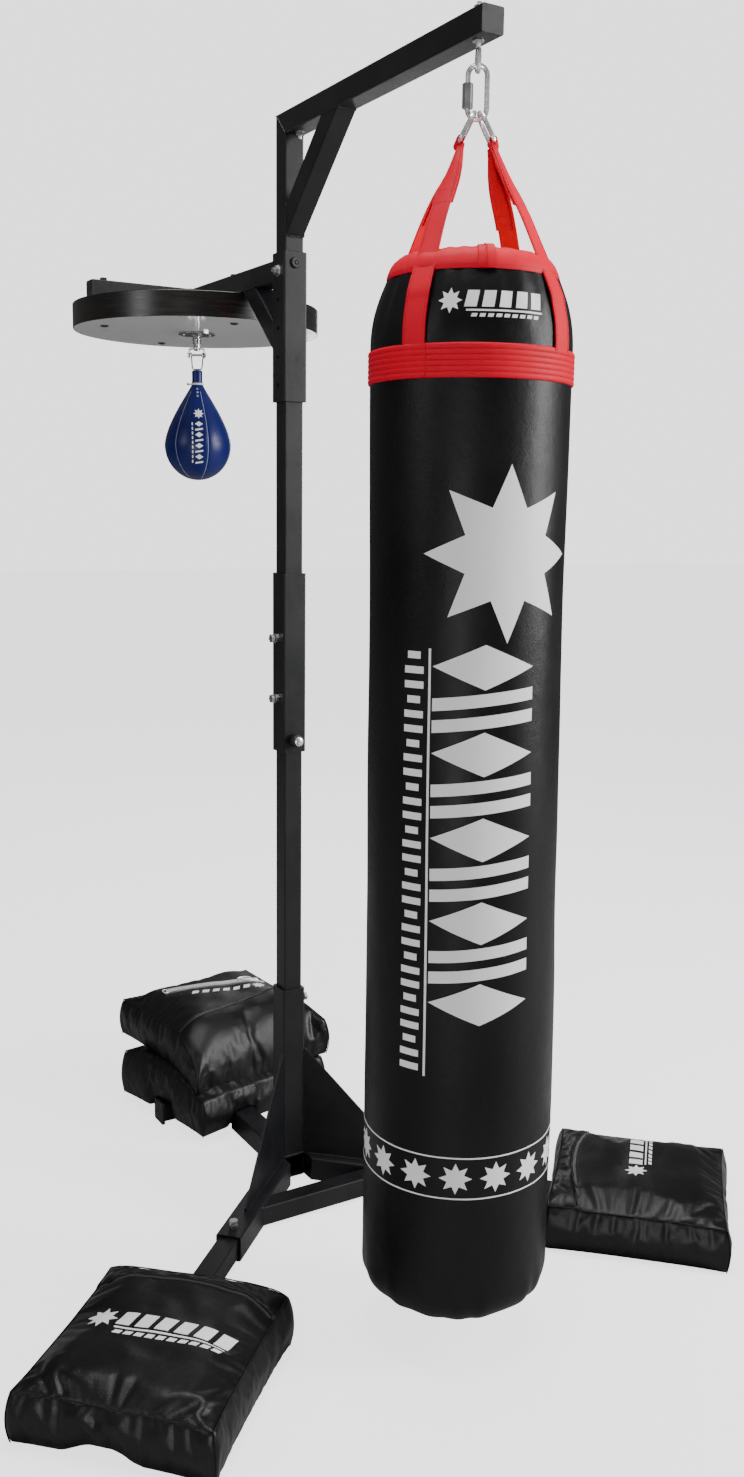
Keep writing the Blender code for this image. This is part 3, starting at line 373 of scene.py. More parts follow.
def catmull(points, steps):
    """Smooth curve through points, with steps pieces between each pair."""
    result = []
    ends = [points[0] * 2 - points[1]] + list(points) + [points[-1] * 2 - points[-2]]
    for a, b, c, d in zip(ends, ends[1:], ends[2:], ends[3:]):
        for t in [k / steps for k in range(steps)]:
            result.append(0.5 * ((2 * b) + (c - a) * t + (2 * a - 5 * b + 4 * c - d) * t * t
                                 + (3 * b - a - 3 * c + d) * t ** 3))
    return result + [points[-1].copy()]


def stitches(bm, path, normals, pitch=0.0042, length=0.0030, radius=0.00042):
    """A row of short thread stitches lying on a path; normals say which way is out of the cloth."""
    travelled, target = 0.0, pitch / 2
    for start, after, out in zip(path, path[1:], normals):
        step = after - start
        reach = step.length
        while reach and target <= travelled + reach:
            centre = start + step * ((target - travelled) / reach)
            along = step.normalized()
            side = along.cross(out).normalized()
            half = along * length / 2
            tips = [bm.verts.new(centre - half), bm.verts.new(centre + half)]
            ring = [bm.verts.new(centre + way * radius) for way in (side, out, -side, -out)]
            for k in range(4):
                bm.faces.new((tips[0], ring[k], ring[(k + 1) % 4]))
                bm.faces.new((tips[1], ring[(k + 1) % 4], ring[k]))
            target += pitch
        travelled += reach


# ================================================================ steel frame
SWIVEL_NODES = ("swivel_plate", "swivel_spindle", "swivel_clevis", "clevis_pin", "speed_bag_bail")


def dress_cad_nodes():
    by_slot = {"frame_steel": "steel", "zinc_bolt": "zinc", "chrome": "chrome", "cap_plastic": "plastic"}
    for part in frame["record"]["subparts"]:
        # The swivel parts take the darker copy of the chrome, painted shade.
        name = "swivel" if part["node"] in SWIVEL_NODES else by_slot.get(part["material_slot"])
        if name:
            materials = frame["nodes"][part["node"]].data.materials
            materials.clear()
            materials.append(MATERIALS[name][0])


def weld_bead(name, body, runs, radius=0.0021):
    """Weld beads along straight or bent runs: overlapping ripples of slightly uneven size."""
    bm = bmesh.new()
    for run in runs:
        points = [Vector(p) for p in run]
        path = []
        for a, b in zip(points, points[1:]):
            count = max(2, int((b - a).length / 0.0011))
            path += [a.lerp(b, k / count) for k in range(count)]
        path.append(points[-1])

        def size(t, count=len(path), seed=points[0]):
            ripple = abs(sin(t * count * 0.55))
            wander = noise.noise(seed * 40 + Vector((t * count * 0.08, 0, 0)))
            return radius * (0.72 + 0.26 * ripple + 0.25 * wander) * (0.35 + 0.65 * min(1, 14 * t, 14 * (1 - t)))

        hint = UP if abs((path[1] - path[0]).normalized().z) < 0.9 else Vector((1, 0, 0))
        rod(bm, path, size, hint, sides=8)
    piece(name, bm, "steel", body, smooth=60)


def tube_outline(centre, half, u, v):
    """Closed square run round a tube, for a weld."""
    corners = [(-1, -1), (1, -1), (1, 1), (-1, 1), (-1, -1)]
    return [Vector(centre) + u * half * a + v * half * b for a, b in corners]


def make_welds():
    x, y = Vector((1, 0, 0)), Vector((0, 1, 0))
    sleeve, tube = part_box("post_sleeve")[1][0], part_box("upper_post")[1][0]
    top, gusset_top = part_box("rear_socket")[1][2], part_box("left_gusset")[1][2]
    corner = sleeve * sqrt(2) - 0.0016
    half_plate, gusset_reach, seam_length = 0.0032, 0.296, 0.055
    runs = [tube_outline((0, 0, top), sleeve, x, y)]
    for direction in LEGS.values():
        for sign in (-1, 1):
            side = direction.cross(UP) * half_plate * sign
            runs.append([direction * out + side + UP * top for out in (corner + 0.004, gusset_reach)])
            for z in (0.075, 0.150, 0.235):
                seam = direction * corner + side
                runs.append([seam + UP * z, seam + UP * (z + seam_length)])
        runs.append([direction * out + UP * (gusset_top + 0.001) for out in (corner, corner + 0.005)])
    low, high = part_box("base_crossbar")
    bar_depth = 0.043
    for sign in (-1, 1):
        edge = sleeve + 0.0005
        runs.append([(sign * sleeve, -sleeve, top - 0.002), (sign * sleeve, 0.010, top - 0.001)])
        runs.append([(sign * edge, -0.066, 0.010), (sign * edge, -0.030, 0.012)])
        for z in (low[2], high[2]):
            runs.append([(sign * high[0], low[1] + 0.001, z),
                         (sign * (high[0] - bar_depth * tan(LEG_ANGLE)), high[1] - 0.001, z)])
    weld_bead("base_welds", "base", runs)

    low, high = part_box("rear_foot_bar")
    weld_bead("rear_foot_welds", "rear_leg", [tube_outline((0, low[1], (low[2] + high[2]) / 2), tube, x, UP)])

    brace, boom, arm, strut = (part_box(node) for node in ("boom_brace", "boom_tube", "platform_arm", "platform_strut"))
    under, brace_foot, brace_y = boom[0][2], brace[0][2], brace[1][1] - 0.001
    strut_run = 0.061
    runs = []
    for side in (-tube, tube):
        runs.append([(side, brace_y, brace_foot), (side, brace_y, brace_foot + 0.060)])
        runs.append([(side, brace[0][1], under), (side, brace[0][1] + 0.070, under)])
        runs.append([(side, tube, boom[1][2]), (side, -tube, under)])
        runs.append([(side, sleeve, strut[0][2]), (side, sleeve, strut[0][2] + strut_run)])
        runs.append([(side, strut[1][1] - 0.062, arm[0][2]), (side, strut[1][1] - 0.001, arm[0][2])])
        for y_side in (-tube, tube):
            runs.append([(side, BOARD_Y + y_side, arm[0][2]), (side, BOARD_Y + y_side, arm[1][2])])
        runs.append([(side, BOARD_Y - tube, arm[1][2]), (side, BOARD_Y + tube, arm[1][2])])
    for end in (0.0, 0.062):
        for a, z in ((-tube - 0.0005, brace_foot + end), (brace[0][1] + end, under)):
            runs.append([(-tube, a, z), (tube, a, z)])
    runs += [[(-tube, sleeve, z), (tube, sleeve, z)] for z in (strut[0][2], strut[0][2] + strut_run)]
    runs.append(tube_outline((0, 0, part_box("head_sleeve")[1][2]), tube + 0.001, x, y))
    runs.append(tube_outline((0, sleeve, (arm[0][2] + arm[1][2]) / 2), tube, x, UP))
    weld_bead("head_welds", "head", runs)


def washer(bm, centre, axis, outer, inner, thick):
    turned(bm, [(inner, 0), (outer - 0.0003, 0), (outer, 0.0003), (outer, thick - 0.0003), (outer - 0.0003, thick),
                (inner, thick)], centre, axis, 28, closed=True)


def make_fasteners():
    """Small hardware that rides with the head, the mast and the coupler knob."""
    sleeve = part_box("head_sleeve")[1][0]
    boom, arm, board_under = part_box("boom_tube"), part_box("platform_arm"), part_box("platform_board")[0][2]
    over, under = boom[1][2], boom[0][2]
    tube, arm_z, arm_top = arm[1][0], (arm[0][2] + arm[1][2]) / 2, arm[1][2]

    bm = bmesh.new()
    washer(bm, (0, BAG_Y, over + 0.0002), UP, 0.0105, 0.0052, 0.0018)
    hexagon(bm, (0, BAG_Y, over + 0.0021), UP, 0.0165, 0.0082)
    washer(bm, (0, BAG_Y, under - 0.0002), -UP, 0.0105, 0.0052, 0.0018)
    bolt_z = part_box("head_bolt")[0][2] + 0.0094
    for sign in (-1, 1):
        washer(bm, (sign * (sleeve + 0.0001), 0, bolt_z), (sign, 0, 0), 0.0125, 0.0098, 0.0012)
    nut_y = -0.047
    washer(bm, (0, nut_y, under - 0.0001), -UP, 0.010, 0.003, 0.0015)
    hexagon(bm, (0, nut_y, under - 0.0016), -UP, 0.0145, 0.007)
    turned(bm, [(0.0040, 0.0), (0.0040, 0.006), (0.0032, 0.007)], (0, nut_y, under - 0.0085), -UP, 16)
    piece("boom_hardware", bm, "zinc", "head")

    bm = bmesh.new()
    boss_z, forward = 2.130, (0, -1, 0)
    boss = (0, -sleeve, boss_z)
    bolt_spots = ((-0.242, BOARD_Y), (0.242, BOARD_Y), (0, 0.286), (0, 0.742))
    turned(bm, [(0.0115, 0.0), (0.0115, 0.0035), (0.0100, 0.0050), (0.0052, 0.0050), (0.0045, 0.0030),
                (0.0012, 0.0030)], boss, forward, 28)
    turned(bm, [(0.0038, 0.0028), (0.0038, 0.0056), (0.0030, 0.0062)], boss, forward, 18)
    for x, y in bolt_spots:
        turned(bm, [(0.0105, 0.0), (0.0105, 0.0006), (0.0092, 0.0026), (0.0055, 0.0036), (0.0040, 0.0020),
                    (0.0010, 0.0020)], (x, y, board_under - 0.0001), -UP, 24)
        hexagon(bm, (x, y, arm_top + 0.0013), UP, 0.0145, 0.0068)
        turned(bm, [(0.0098, 0.0), (0.0098, 0.0012), (0.0060, 0.0013)], (x, y, arm_top + 0.0001), UP, 24)
    for x, sign in ((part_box("platform_crossbar_left")[0][0], -1), (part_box("platform_crossbar_right")[1][0], 1)):
        plug(bm, (x, BOARD_Y, arm_z), Vector((sign, 0, 0)), tube)
    plug(bm, (0, arm[1][1], arm_z), Vector((0, 1, 0)), tube)
    piece("platform_hardware", bm, "plastic", "head")

    bm = bmesh.new()
    low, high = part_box("coupler_knob")
    turned(bm, [(0.0105, -0.0006), (0.0108, 0.0006), (0.0092, 0.0022), (0.0050, 0.0032), (0.0010, 0.0035)],
           ((low[0] + high[0]) / 2, low[1], (low[2] + high[2]) / 2), forward, 32)
    piece("knob_cap", bm, "chrome", "coupler_knob")

    bm = bmesh.new()
    for name in ("coupler_bolt_lower", "coupler_bolt_upper"):
        z = (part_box(name)[0][2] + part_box(name)[1][2]) / 2
        washer(bm, (-sleeve - 0.0085, 0, z), (-1, 0, 0), 0.0112, 0.0054, 0.0014)
    piece("coupler_washers", bm, "zinc", "mast")


def plug(bm, centre, outward, half):
    """Flanged plastic plug that closes a square tube's end."""
    side = outward.cross(UP)
    rings = []
    for size, depth, corner in ((half - 0.0042, -0.010, 0.001), (half - 0.0034, 0.0002, 0.001),
                                (half - 0.0002, 0.0002, 0.003), (half - 0.0002, 0.0020, 0.003),
                                (half - 0.0014, 0.0030, 0.003)):
        ring = []
        for quarter, (a, b) in enumerate(((1, 1), (-1, 1), (-1, -1), (1, -1))):
            for angle in [quarter * pi / 2 + step * pi / 6 for step in range(4)]:
                ring.append(Vector(centre) + outward * depth + side * ((size - corner) * a + corner * cos(angle))
                            + UP * ((size - corner) * b + corner * sin(angle)))
        rings.append(ring)
    skin(bm, rings)


# ================================================================ board
def make_board():
    low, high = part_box("platform_board")
    centre = ((low[0] + high[0]) / 2, BOARD_Y, low[2])
    radius, thick = (high[0] - low[0]) / 2, high[2] - low[2]
    bm = bmesh.new()
    turned(bm, [(0.02, 0.0), (radius - 0.0016, 0.0), (radius - 0.0016, thick), (0.02, thick)], centre, UP, 160)
    piece("board_panel", bm, "laminate", "head", ["platform_board"])
    bm = bmesh.new()
    edge = [(radius - 0.0014, 0.0003), (radius - 0.0008, -0.0002), (radius, 0.0008), (radius, thick - 0.0008),
            (radius - 0.0008, thick + 0.0002), (radius - 0.0014, thick - 0.0003)]
    turned(bm, edge, centre, UP, 160, closed=True)
    piece("board_edge_banding", bm, "edge", "head")


# ================================================================ heavy bag
def on_axis(z):
    return Vector((0, BAG_Y, z))


def around(theta, radius, z):
    return on_axis(z) + spoke(theta) * radius


def span(low, high, count):
    return [low + k * (high - low) / (count - 1) for k in range(count)]


def bag_lean(z):
    """The bag hangs a few millimetres off plumb towards its foot."""
    return ACROSS * 0.008 * (1 - smooth_step(z, 0.25, 1.85))


def bag_point(theta, z, extra=0.0):
    """Point on the heavy bag's skin, or extra metres outside it."""
    return around(theta, bag_radius(theta, z) + extra, z) + bag_lean(z)


def bag_radius(theta, z):
    """The filled bag: a taut cylinder with a rounded shoulder, gathered at its foot and shoulder."""
    radius = BAG_R
    if z > SHOULDER_LOW:
        t = (z - SHOULDER_LOW) / (BAG_RIM - SHOULDER_LOW)
        radius -= (BAG_R - BAG_RIM_R) * (1 - cos(t * pi / 2)) ** 1.15
    elif z < FOOT_TOP:
        t = (FOOT_TOP - z) / (FOOT_TOP - BAG_BOTTOM)
        radius -= (BAG_R - BAG_FOOT_R) * (1 - sqrt(max(0.0, 1 - min(1.0, t) ** 2.4)))
    spot = spoke(theta)
    sag = 0.0033 * (1 - smooth_step(z, 0.45, 1.05)) - 0.0024 * exp(-((z - 1.38) / 0.26) ** 2)
    dents = (0.0022 * noise.noise(spot * 1.3 + Vector((0, 0, z * 2.3)))
             + 0.0009 * noise.noise(spot * 3.2 + Vector((4, 1, z * 6.0))))
    near_band = smooth_step(z, 1.60, 1.82) * (1 - smooth_step(z, 1.90, 1.96))
    gather_top = smooth_step(z, 1.875, 1.97) * 0.0011 * sin(theta * 22 + 2.2 * noise.noise(spot * 3))
    gather_low = (1 - smooth_step(z, 0.105, 0.21)) * 0.0019 * sin(theta * 17 + 2.5 * noise.noise(spot * 2.2))
    return radius + sag + dents * (1 - 0.75 * near_band) + gather_top + gather_low


def make_bag_shell():
    bm = bmesh.new()
    levels = [BAG_BOTTOM + (FOOT_TOP - BAG_BOTTOM) * (1 - cos(k / 14 * pi / 2)) for k in range(14)]
    levels += span(FOOT_TOP, SHOULDER_LOW, 131)[:-1] + span(SHOULDER_LOW, BAG_RIM, 23)
    rings = [[bag_point(t, z) for t in turns(192)] for z in levels]
    foot, head = on_axis(BAG_BOTTOM) + bag_lean(0), on_axis(BAG_RIM)
    base = [[foot.lerp(p, share) - UP * drop for p in rings[0]]
            for share, drop in ((0.02, 0.0010), (0.35, 0.0009), (0.7, 0.0006), (0.93, 0.0003))]
    lid = [[head.lerp(p, share) + UP * 0.001 for p in rings[-1]] for share in (0.9, 0.5, 0.02)]
    skin(bm, base + rings + lid)
    piece("heavy_bag_shell", bm, "bag", "bag", ["bag_shell", "bag_fill"], smooth=50)

    bm = bmesh.new()
    disc = [(0.004, 0.0), (0.112, 0.0), (0.1165, 0.0008), (0.1155, 0.0024), (0.1140, 0.0030)]
    turned(bm, disc, on_axis(BAG_BOTTOM - 0.0034) + bag_lean(0), UP, 96)
    piece("bag_bottom_panel", bm, "red", "bag")

    bm = bmesh.new()
    back = FACING + pi
    for theta in (back - 0.006 / BAG_R, back + 0.006 / BAG_R):
        path = [bag_point(theta, z, 0.0005) for z in span(0.17, 1.815, 180)]
        stitches(bm, path, [spoke(theta)] * 180, pitch=0.0060, length=0.0045, radius=0.0005)
    piece("bag_back_stitching", bm, "thread_black", "bag", slot="bag_vinyl")
    bm = bmesh.new()
    section = ((-0.0125, 0.0001), (-0.0120, 0.0012), (0.0120, 0.0012), (0.0125, 0.0001), (0.0, -0.0010))
    skin(bm, [[bag_point(back + aside / BAG_R, z, lift) for aside, lift in section] for z in span(0.15, 1.822, 150)])
    piece("bag_back_seam", bm, "bag", "bag")


def make_crown():
    """Red crown: a short upright wall under a soft, slightly puckered top, closed by a lapped flap."""
    profile = [(0.1505, 1.9975), (0.1512, 2.0010), (0.1490, 2.0090), (0.1450, 2.0180), (0.1385, 2.0265),
               (0.1290, 2.0330), (0.1150, 2.0375), (0.0950, 2.0405), (0.0700, 2.0430), (0.0400, 2.0445),
               (0.0150, 2.0450)]

    def crown_point(theta, radius, z, lift=0.0):
        depth = smooth_step(z, 2.0, 2.035)
        spot = spoke(theta)
        pucker = (0.0007 * sin(theta * 26 + 3 * noise.noise(spot * 2.5)) * smooth_step(radius, 0.02, 0.12)
                  * (0.35 + 0.65 * depth))
        soft = 0.0026 * noise.noise(spot * 1.5 + Vector((0, 0, radius * 18)))
        return around(theta, radius + lift + pucker * 0.4, z + (pucker + soft + lift) * depth)

    bm = bmesh.new()
    under = [around(t, 0.02, 1.9985) for t in turns(160)]
    skin(bm, [under] + [[crown_point(t, r, z) for t in turns(160)] for r, z in profile])
    piece("bag_crown", bm, "red", "bag", ["bag_top"], smooth=55)

    bm = bmesh.new()
    middle = FACING + radians(9)
    flap = profile[:8]
    for left, right, lift in ((-0.016, 0.013, 0.0020), (-0.001, 0.016, 0.0040)):
        section = [(left + (right - left) * share, height) for share, height in
                   ((0.0, 0.0), (0.04, lift), (0.35, lift * 1.1), (0.65, lift * 1.1), (0.96, lift), (1.0, 0.0),
                    (0.5, -0.002))]
        skin(bm, [[crown_point(middle + aside / 0.15, r, z, height) for aside, height in section] for r, z in flap])
    piece("crown_flap", bm, "red", "bag")
    bm = bmesh.new()
    for aside, lift in ((-0.0135, 0.0026), (0.0015, 0.0048), (0.0135, 0.0048)):
        theta = middle + aside / 0.15
        path = catmull([crown_point(theta, r, z, lift) for r, z in flap], 5)
        stitches(bm, path, [spoke(theta, 0.4).normalized()] * len(path))
    circle = turns(240) + [2 * pi]
    stitches(bm, [crown_point(t, 0.1502, 2.0045, 0.0003) for t in circle], [spoke(t) for t in circle])
    piece("crown_stitching", bm, "thread_red", "bag")


def make_band():
    """Red band: a folded strip with sewn rows, its end lapped over its start."""
    rows, rib_steps, trim = 6, 6, 0.0008
    height = BAND_TOP - BAND_BOTTOM
    profile = [(0.0002, BAND_BOTTOM)]
    for k in range(rows * rib_steps + 1):
        across = k / rib_steps % 1.0
        swell = 0.0015 * sin(pi * across) ** 0.6 if across else 0.0
        profile.append((0.0018 + swell, BAND_BOTTOM + trim + k / (rows * rib_steps) * (height - 2 * trim)))
    profile.append((0.0002, BAND_TOP))
    bm = bmesh.new()
    rings = []
    for lift, z in profile:
        waves = [(t, 0.0004 * noise.noise(Vector((cos(t) * 6, sin(t) * 6, z * 30)))) for t in turns(256)]
        rings.append([around(t, BAG_R + 0.0006 + lift + wave, z) for t, wave in waves])
    back = [[around(t, BAG_R - 0.0030, z) for t in turns(256)] for z in (BAND_TOP, BAND_BOTTOM)]
    skin(bm, rings + back, closed_path=True)
    piece("bag_belt", bm, "red", "bag", ["bag_band"], smooth=50)

    bm = bmesh.new()
    start, length = FACING - radians(48), 0.075 / BAG_R
    rings = []
    for lift, z in profile:
        section = [(share, lift + 0.0024 * rise) for share, rise in
                   ((0.0, 0.0), (0.03, 1.0), (0.5, 1.0), (0.97, 0.85), (1.0, 0.0))] + [(0.5, -0.001)]
        rings.append([around(start + share * length, BAG_R + out, z) for share, out in section])
    skin(bm, rings)
    piece("belt_lap", bm, "red", "bag")

    bm = bmesh.new()
    circle = turns(300) + [2 * pi]
    for row in range(rows + 1):
        z = BAND_BOTTOM + trim + (height - 2 * trim) * row / rows + {0: 0.0016, rows: -0.0016}.get(row, 0.0)
        stitches(bm, [around(t, BAG_R + 0.0029, z) for t in circle], [spoke(t) for t in circle],
                 pitch=0.0046, length=0.0034)
    piece("belt_stitching", bm, "thread_red", "bag")


# ================================================================ straps
def ring_lower_bar(side):
    """Middle of a strap ring's lower bar and the direction in which the ring hangs."""
    sign = -1 if side == "left" else 1
    tilt, length, spread = radians(27.0), 0.0565, radians(34.0)
    link_bottom, link_half, inside = 2.2662, 0.0165, 0.0077
    top = on_axis(link_bottom + link_half - inside * cos(spread)) + ACROSS * sign * inside * sin(spread)
    hang = ACROSS * sign * sin(tilt) - UP * cos(tilt)
    return top + hang * length, hang


def strap_centre(side, azimuth, toward):
    """Centreline of a strap from its ring to the band: point, width direction, face direction, distance."""
    bar, hang = ring_lower_bar(side)
    angle = radians(azimuth)
    out, along_band = spoke(angle), Vector((-sin(angle), cos(angle), 0))
    start = bar + hang * 0.005 + FORWARD * toward * STRAP_ASIDE

    def on_bag(z, extra):
        return around(angle, bag_radius(angle, z) + extra, z)

    shoulder = on_bag(1.972, 0.0045)
    control = [start, start.lerp(shoulder, 0.14) + FORWARD * toward * 0.004, start.lerp(shoulder, 0.42) + out * 0.002,
               start.lerp(shoulder, 0.72) + out * 0.001, shoulder, on_bag(1.948, 0.0033), on_bag(1.920, 0.0026),
               on_bag(1.890, 0.0023), on_bag(BAND_TOP - 0.006, 0.0022)]
    path = catmull(control, 10)
    first = FORWARD if along_band.dot(FORWARD) > 0 else -FORWARD
    frames = []
    distance = 0.0
    for before, point, after in zip(path[:1] + path, path, path[1:] + path[-1:]):
        distance += (point - before).length
        tangent = (after - before).normalized()
        side_way = first.lerp(along_band, smooth_step(distance, -0.03, 0.110))
        side_way = (side_way - tangent * side_way.dot(tangent)).normalized()
        face = side_way.cross(tangent)
        frames.append((point, side_way, -face if face.dot(out) < 0 else face, distance))
    return frames


def strap_cup(distance):
    """How far a strap's edges curl inwards where it is gathered at the ring."""
    return 0.0060 * (1 - smooth_step(distance, 0.02, 0.16))


def strap_half(distance):
    return STRAP_WIDTH / 2 * (0.44 + 0.32 * smooth_step(distance, 0.0, 0.08) + 0.17 * smooth_step(distance, 0.15, 0.30))


def shifted(distance, aside):
    """How far the folded-back end lies aside from the strap."""
    return aside * smooth_step(distance, 0.0, 0.05)


def strap_layer(bm, frames, shift, thick, stop, width_scale=1.0, aside=0.0):
    """One layer of webbing: a cupped strip with rolled edges."""
    rings = []
    for point, side_way, face, distance in frames:
        if distance > stop:
            continue
        half, cup = strap_half(distance) * width_scale, strap_cup(distance)
        middle = point + face * shift + side_way * shifted(distance, aside)
        top, under = [], []
        for k in range(-6, 7):
            share = k / 6
            place = middle + side_way * half * share + face * (-cup * share * share)
            rise = face * thick / 2 * (0.55 if abs(k) == 6 else 1.0)
            top.append(place + rise)
            under.append(place - rise)
        rings.append(top + under[::-1])
    skin(bm, rings)


def make_straps():
    under_shift = -STRAP_THICK * 1.85 - 0.0006
    for key, azimuth in STRAP_AZIMUTHS.items():
        end, side = key.split("_")
        toward = 1 if spoke(radians(azimuth)).dot(FORWARD) > 0 else -1
        frames = strap_centre(side, azimuth, toward)
        fold = 0.125 if end == "front" else 0.140
        aside = 0.0040 * (1 if frames[-1][1].dot(ACROSS) > 0 else -1) * (1 if side == "left" else -1)
        bm = bmesh.new()
        strap_layer(bm, frames, 0.0, STRAP_THICK, frames[-1][3])
        for edge in (-1, 1):
            rim = [point + side_way * edge * strap_half(distance) - face * strap_cup(distance)
                   for point, side_way, face, distance in frames]
            rod(bm, rim, 0.0017, frames[0][2], sides=8)
        strap_layer(bm, frames, -STRAP_THICK - 0.0004, STRAP_THICK * 0.9, fold, 0.96, aside)
        bar, hang = ring_lower_bar(side)
        bar = bar + FORWARD * toward * STRAP_ASIDE
        _, side_way, face, _ = frames[0]
        half = strap_half(0.0)
        section = ((-half, -0.0010), (half, -0.0010), (half + 0.0004, 0.0), (half, 0.0010), (-half, 0.0010),
                   (-half - 0.0004, 0.0))
        rings = []
        for angle in [radians(-140 + 380 * k / 14) for k in range(15)]:
            across = face * cos(angle) - hang * sin(angle)
            rings.append([bar + across * LOOP_R + side_way * w + across.normalized() * lift for w, lift in section])
        skin(bm, rings)
        piece(f"{key}_webbing", bm, "red", "bag", [f"{key}_strap"], smooth=50)

        bm = bmesh.new()
        for lift, shift, stop, step in ((1, STRAP_THICK / 2, frames[-1][3], 0.0), (-1, under_shift, fold, aside)):
            sewn = [frame for frame in frames if frame[3] <= stop]
            for share in (-SEWN_AT, SEWN_AT):
                path = [point + side_way * (strap_half(distance) * share + shifted(distance, step))
                        + face * (shift - strap_cup(distance) * share * share)
                        for point, side_way, face, distance in sewn]
                stitches(bm, path, [frame[2] * lift for frame in sewn], pitch=0.0048, length=0.0038, radius=0.0006)
        for row in (fold - 0.008, fold - 0.030):
            point, side_way, face, distance = min(frames, key=lambda frame: abs(frame[3] - row))
            half = strap_half(distance) * SEWN_AT
            for shift, lift in ((STRAP_THICK / 2 + 0.0001, 1), (under_shift, -1)):
                path = [point + side_way * half * share + face * shift for share in span(-1, 1, 17)]
                stitches(bm, path, [face * lift] * 17, pitch=0.0046, length=0.0034)
        piece(f"{key}_stitching", bm, "thread_red", "bag")


# ================================================================ prints
def star(u, v, size):
    """Star with one point straight up."""
    points, inner = STAR
    reaches = [size, size * inner] * points
    return [(u + reach * cos(pi / 2 + pi * k / points), v + reach * sin(pi / 2 + pi * k / points))
            for k, reach in enumerate(reaches)]


def diamond(u, v, width, height):
    return [(u - width / 2, v), (u, v - height / 2), (u + width / 2, v), (u, v + height / 2)]


def bar(u, v, width, height, lean=0.0, rise=0.0):
    """Bar whose top leans to the right by 2 * lean and whose right end is higher by rise."""
    return [(u + width / 2 * a + lean * b, v + height / 2 * b + rise / 2 * a)
            for a, b in ((-1, -1), (1, -1), (1, 1), (-1, 1))]


def decal(name, body, shapes, place, cell=0.008, thick=INK_THICK):
    """Thin ink layer: flat outlines, cut into small cells, laid on a surface by place(u, v, lift)."""
    bm = bmesh.new()
    for outline in shapes:
        bm.faces.new([bm.verts.new((u, v, 0)) for u, v in outline])
    bm.normal_update()
    bmesh.ops.triangulate(bm, faces=bm.faces, ngon_method="EAR_CLIP")
    for axis in (0, 1):
        values = [vert.co[axis] for vert in bm.verts]
        low, normal = min(values), (1 - axis, axis, 0)
        for k in range(1, int((max(values) - low) / cell) + 1):
            at = [part * (low + k * cell) for part in normal]
            geometry = bm.verts[:] + bm.edges[:] + bm.faces[:]
            bmesh.ops.bisect_plane(bm, geom=geometry, dist=1e-7, plane_co=at, plane_no=normal)
    bmesh.ops.dissolve_degenerate(bm, dist=1e-6, edges=bm.edges)
    for face in bm.faces:
        if face.normal.z < 0:
            face.normal_flip()
    extruded = bmesh.ops.extrude_face_region(bm, geom=bm.faces[:])["geom"]
    raised = {v for v in extruded if isinstance(v, bmesh.types.BMVert)}
    for vert in bm.verts:
        vert.co = place(vert.co.x, vert.co.y, thick if vert in raised else -0.0003)
    piece(name, bm, "ink", body, smooth=30)


def make_prints():
    def front_of_bag(u, v, lift):
        return bag_point(FACING + u / BAG_R, v, lift)

    column, top, pitch, wide = 0.037, 1.342, 0.151, 0.186
    shapes = [star(0.075, 1.533, 0.150), bar(-0.0615, 0.985, 0.0042, 0.775)]
    shapes += [diamond(column, top - k * pitch, wide, 0.078) for k in range(5)]
    shapes += [bar(column, top - (k + 0.5) * pitch + dv, wide, 0.022, rise=0.020)
               for k in range(4) for dv in (-0.019, 0.019)]
    shapes += [bar(-0.092, 1.360 - k * 0.0258, 0.038 if k % 3 else 0.026, 0.0125) for k in range(30)]
    decal("bag_front_print", "bag", shapes, front_of_bag)

    shapes = [star(-0.038, 1.944, 0.021), bar(0.060, 1.928, 0.140, 0.0030)]
    shapes += [bar(k * 0.030, 1.947, 0.021, 0.027, 0.003) for k in range(5)]
    shapes += [bar(0.004 + k * 0.0140, 1.920, 0.0095, 0.0055, 0.001) for k in range(9)]
    decal("bag_shoulder_print", "bag", shapes, front_of_bag, cell=0.005)

    count = 15
    shapes = [star((k - count / 2 + 0.5) * 2 * pi * BAG_R / count, 0.4055, 0.0300) for k in range(count)]
    decal("bag_star_row", "bag", shapes, front_of_bag, cell=0.006)
    bm = bmesh.new()
    for z in (0.445, 0.366):
        section = ((-0.0003, -0.0014), (INK_THICK, -0.0013), (INK_THICK, 0.0013), (-0.0003, 0.0014))
        skin(bm, [[bag_point(t, z + dz, lift) for t in turns(192)] for lift, dz in section], closed_path=True)
    piece("bag_ring_lines", bm, "ink", "bag")


# ================================================================ speed bag
SPEED_LOW, SPEED_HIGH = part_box("speed_bag_cover")
SPEED_Y = (SPEED_LOW[1] + SPEED_HIGH[1]) / 2
SPEED_BOTTOM, NECK_TOP = SPEED_LOW[2], SPEED_HIGH[2]
SPEED_R = (SPEED_HIGH[0] - SPEED_LOW[0]) / 2
SPEED_WIDE, COLLAR_Z, COLLAR_R = 1.763, 1.912, 0.0145
PANELS = 6


def speed_radius(z):
    """Teardrop outline: a round belly that tapers to the collar."""
    if z <= SPEED_WIDE:
        t = (SPEED_WIDE - z) / (SPEED_WIDE - SPEED_BOTTOM)
        return SPEED_R * sqrt(max(0.0, 1 - t * t))
    t = (z - SPEED_WIDE) / (COLLAR_Z - SPEED_WIDE)
    return COLLAR_R + (SPEED_R - COLLAR_R) * (1 - t ** 1.55) ** 1.12


def near_speed_axis(theta, radius, z):
    return Vector((0, SPEED_Y, z)) + spoke(theta) * radius


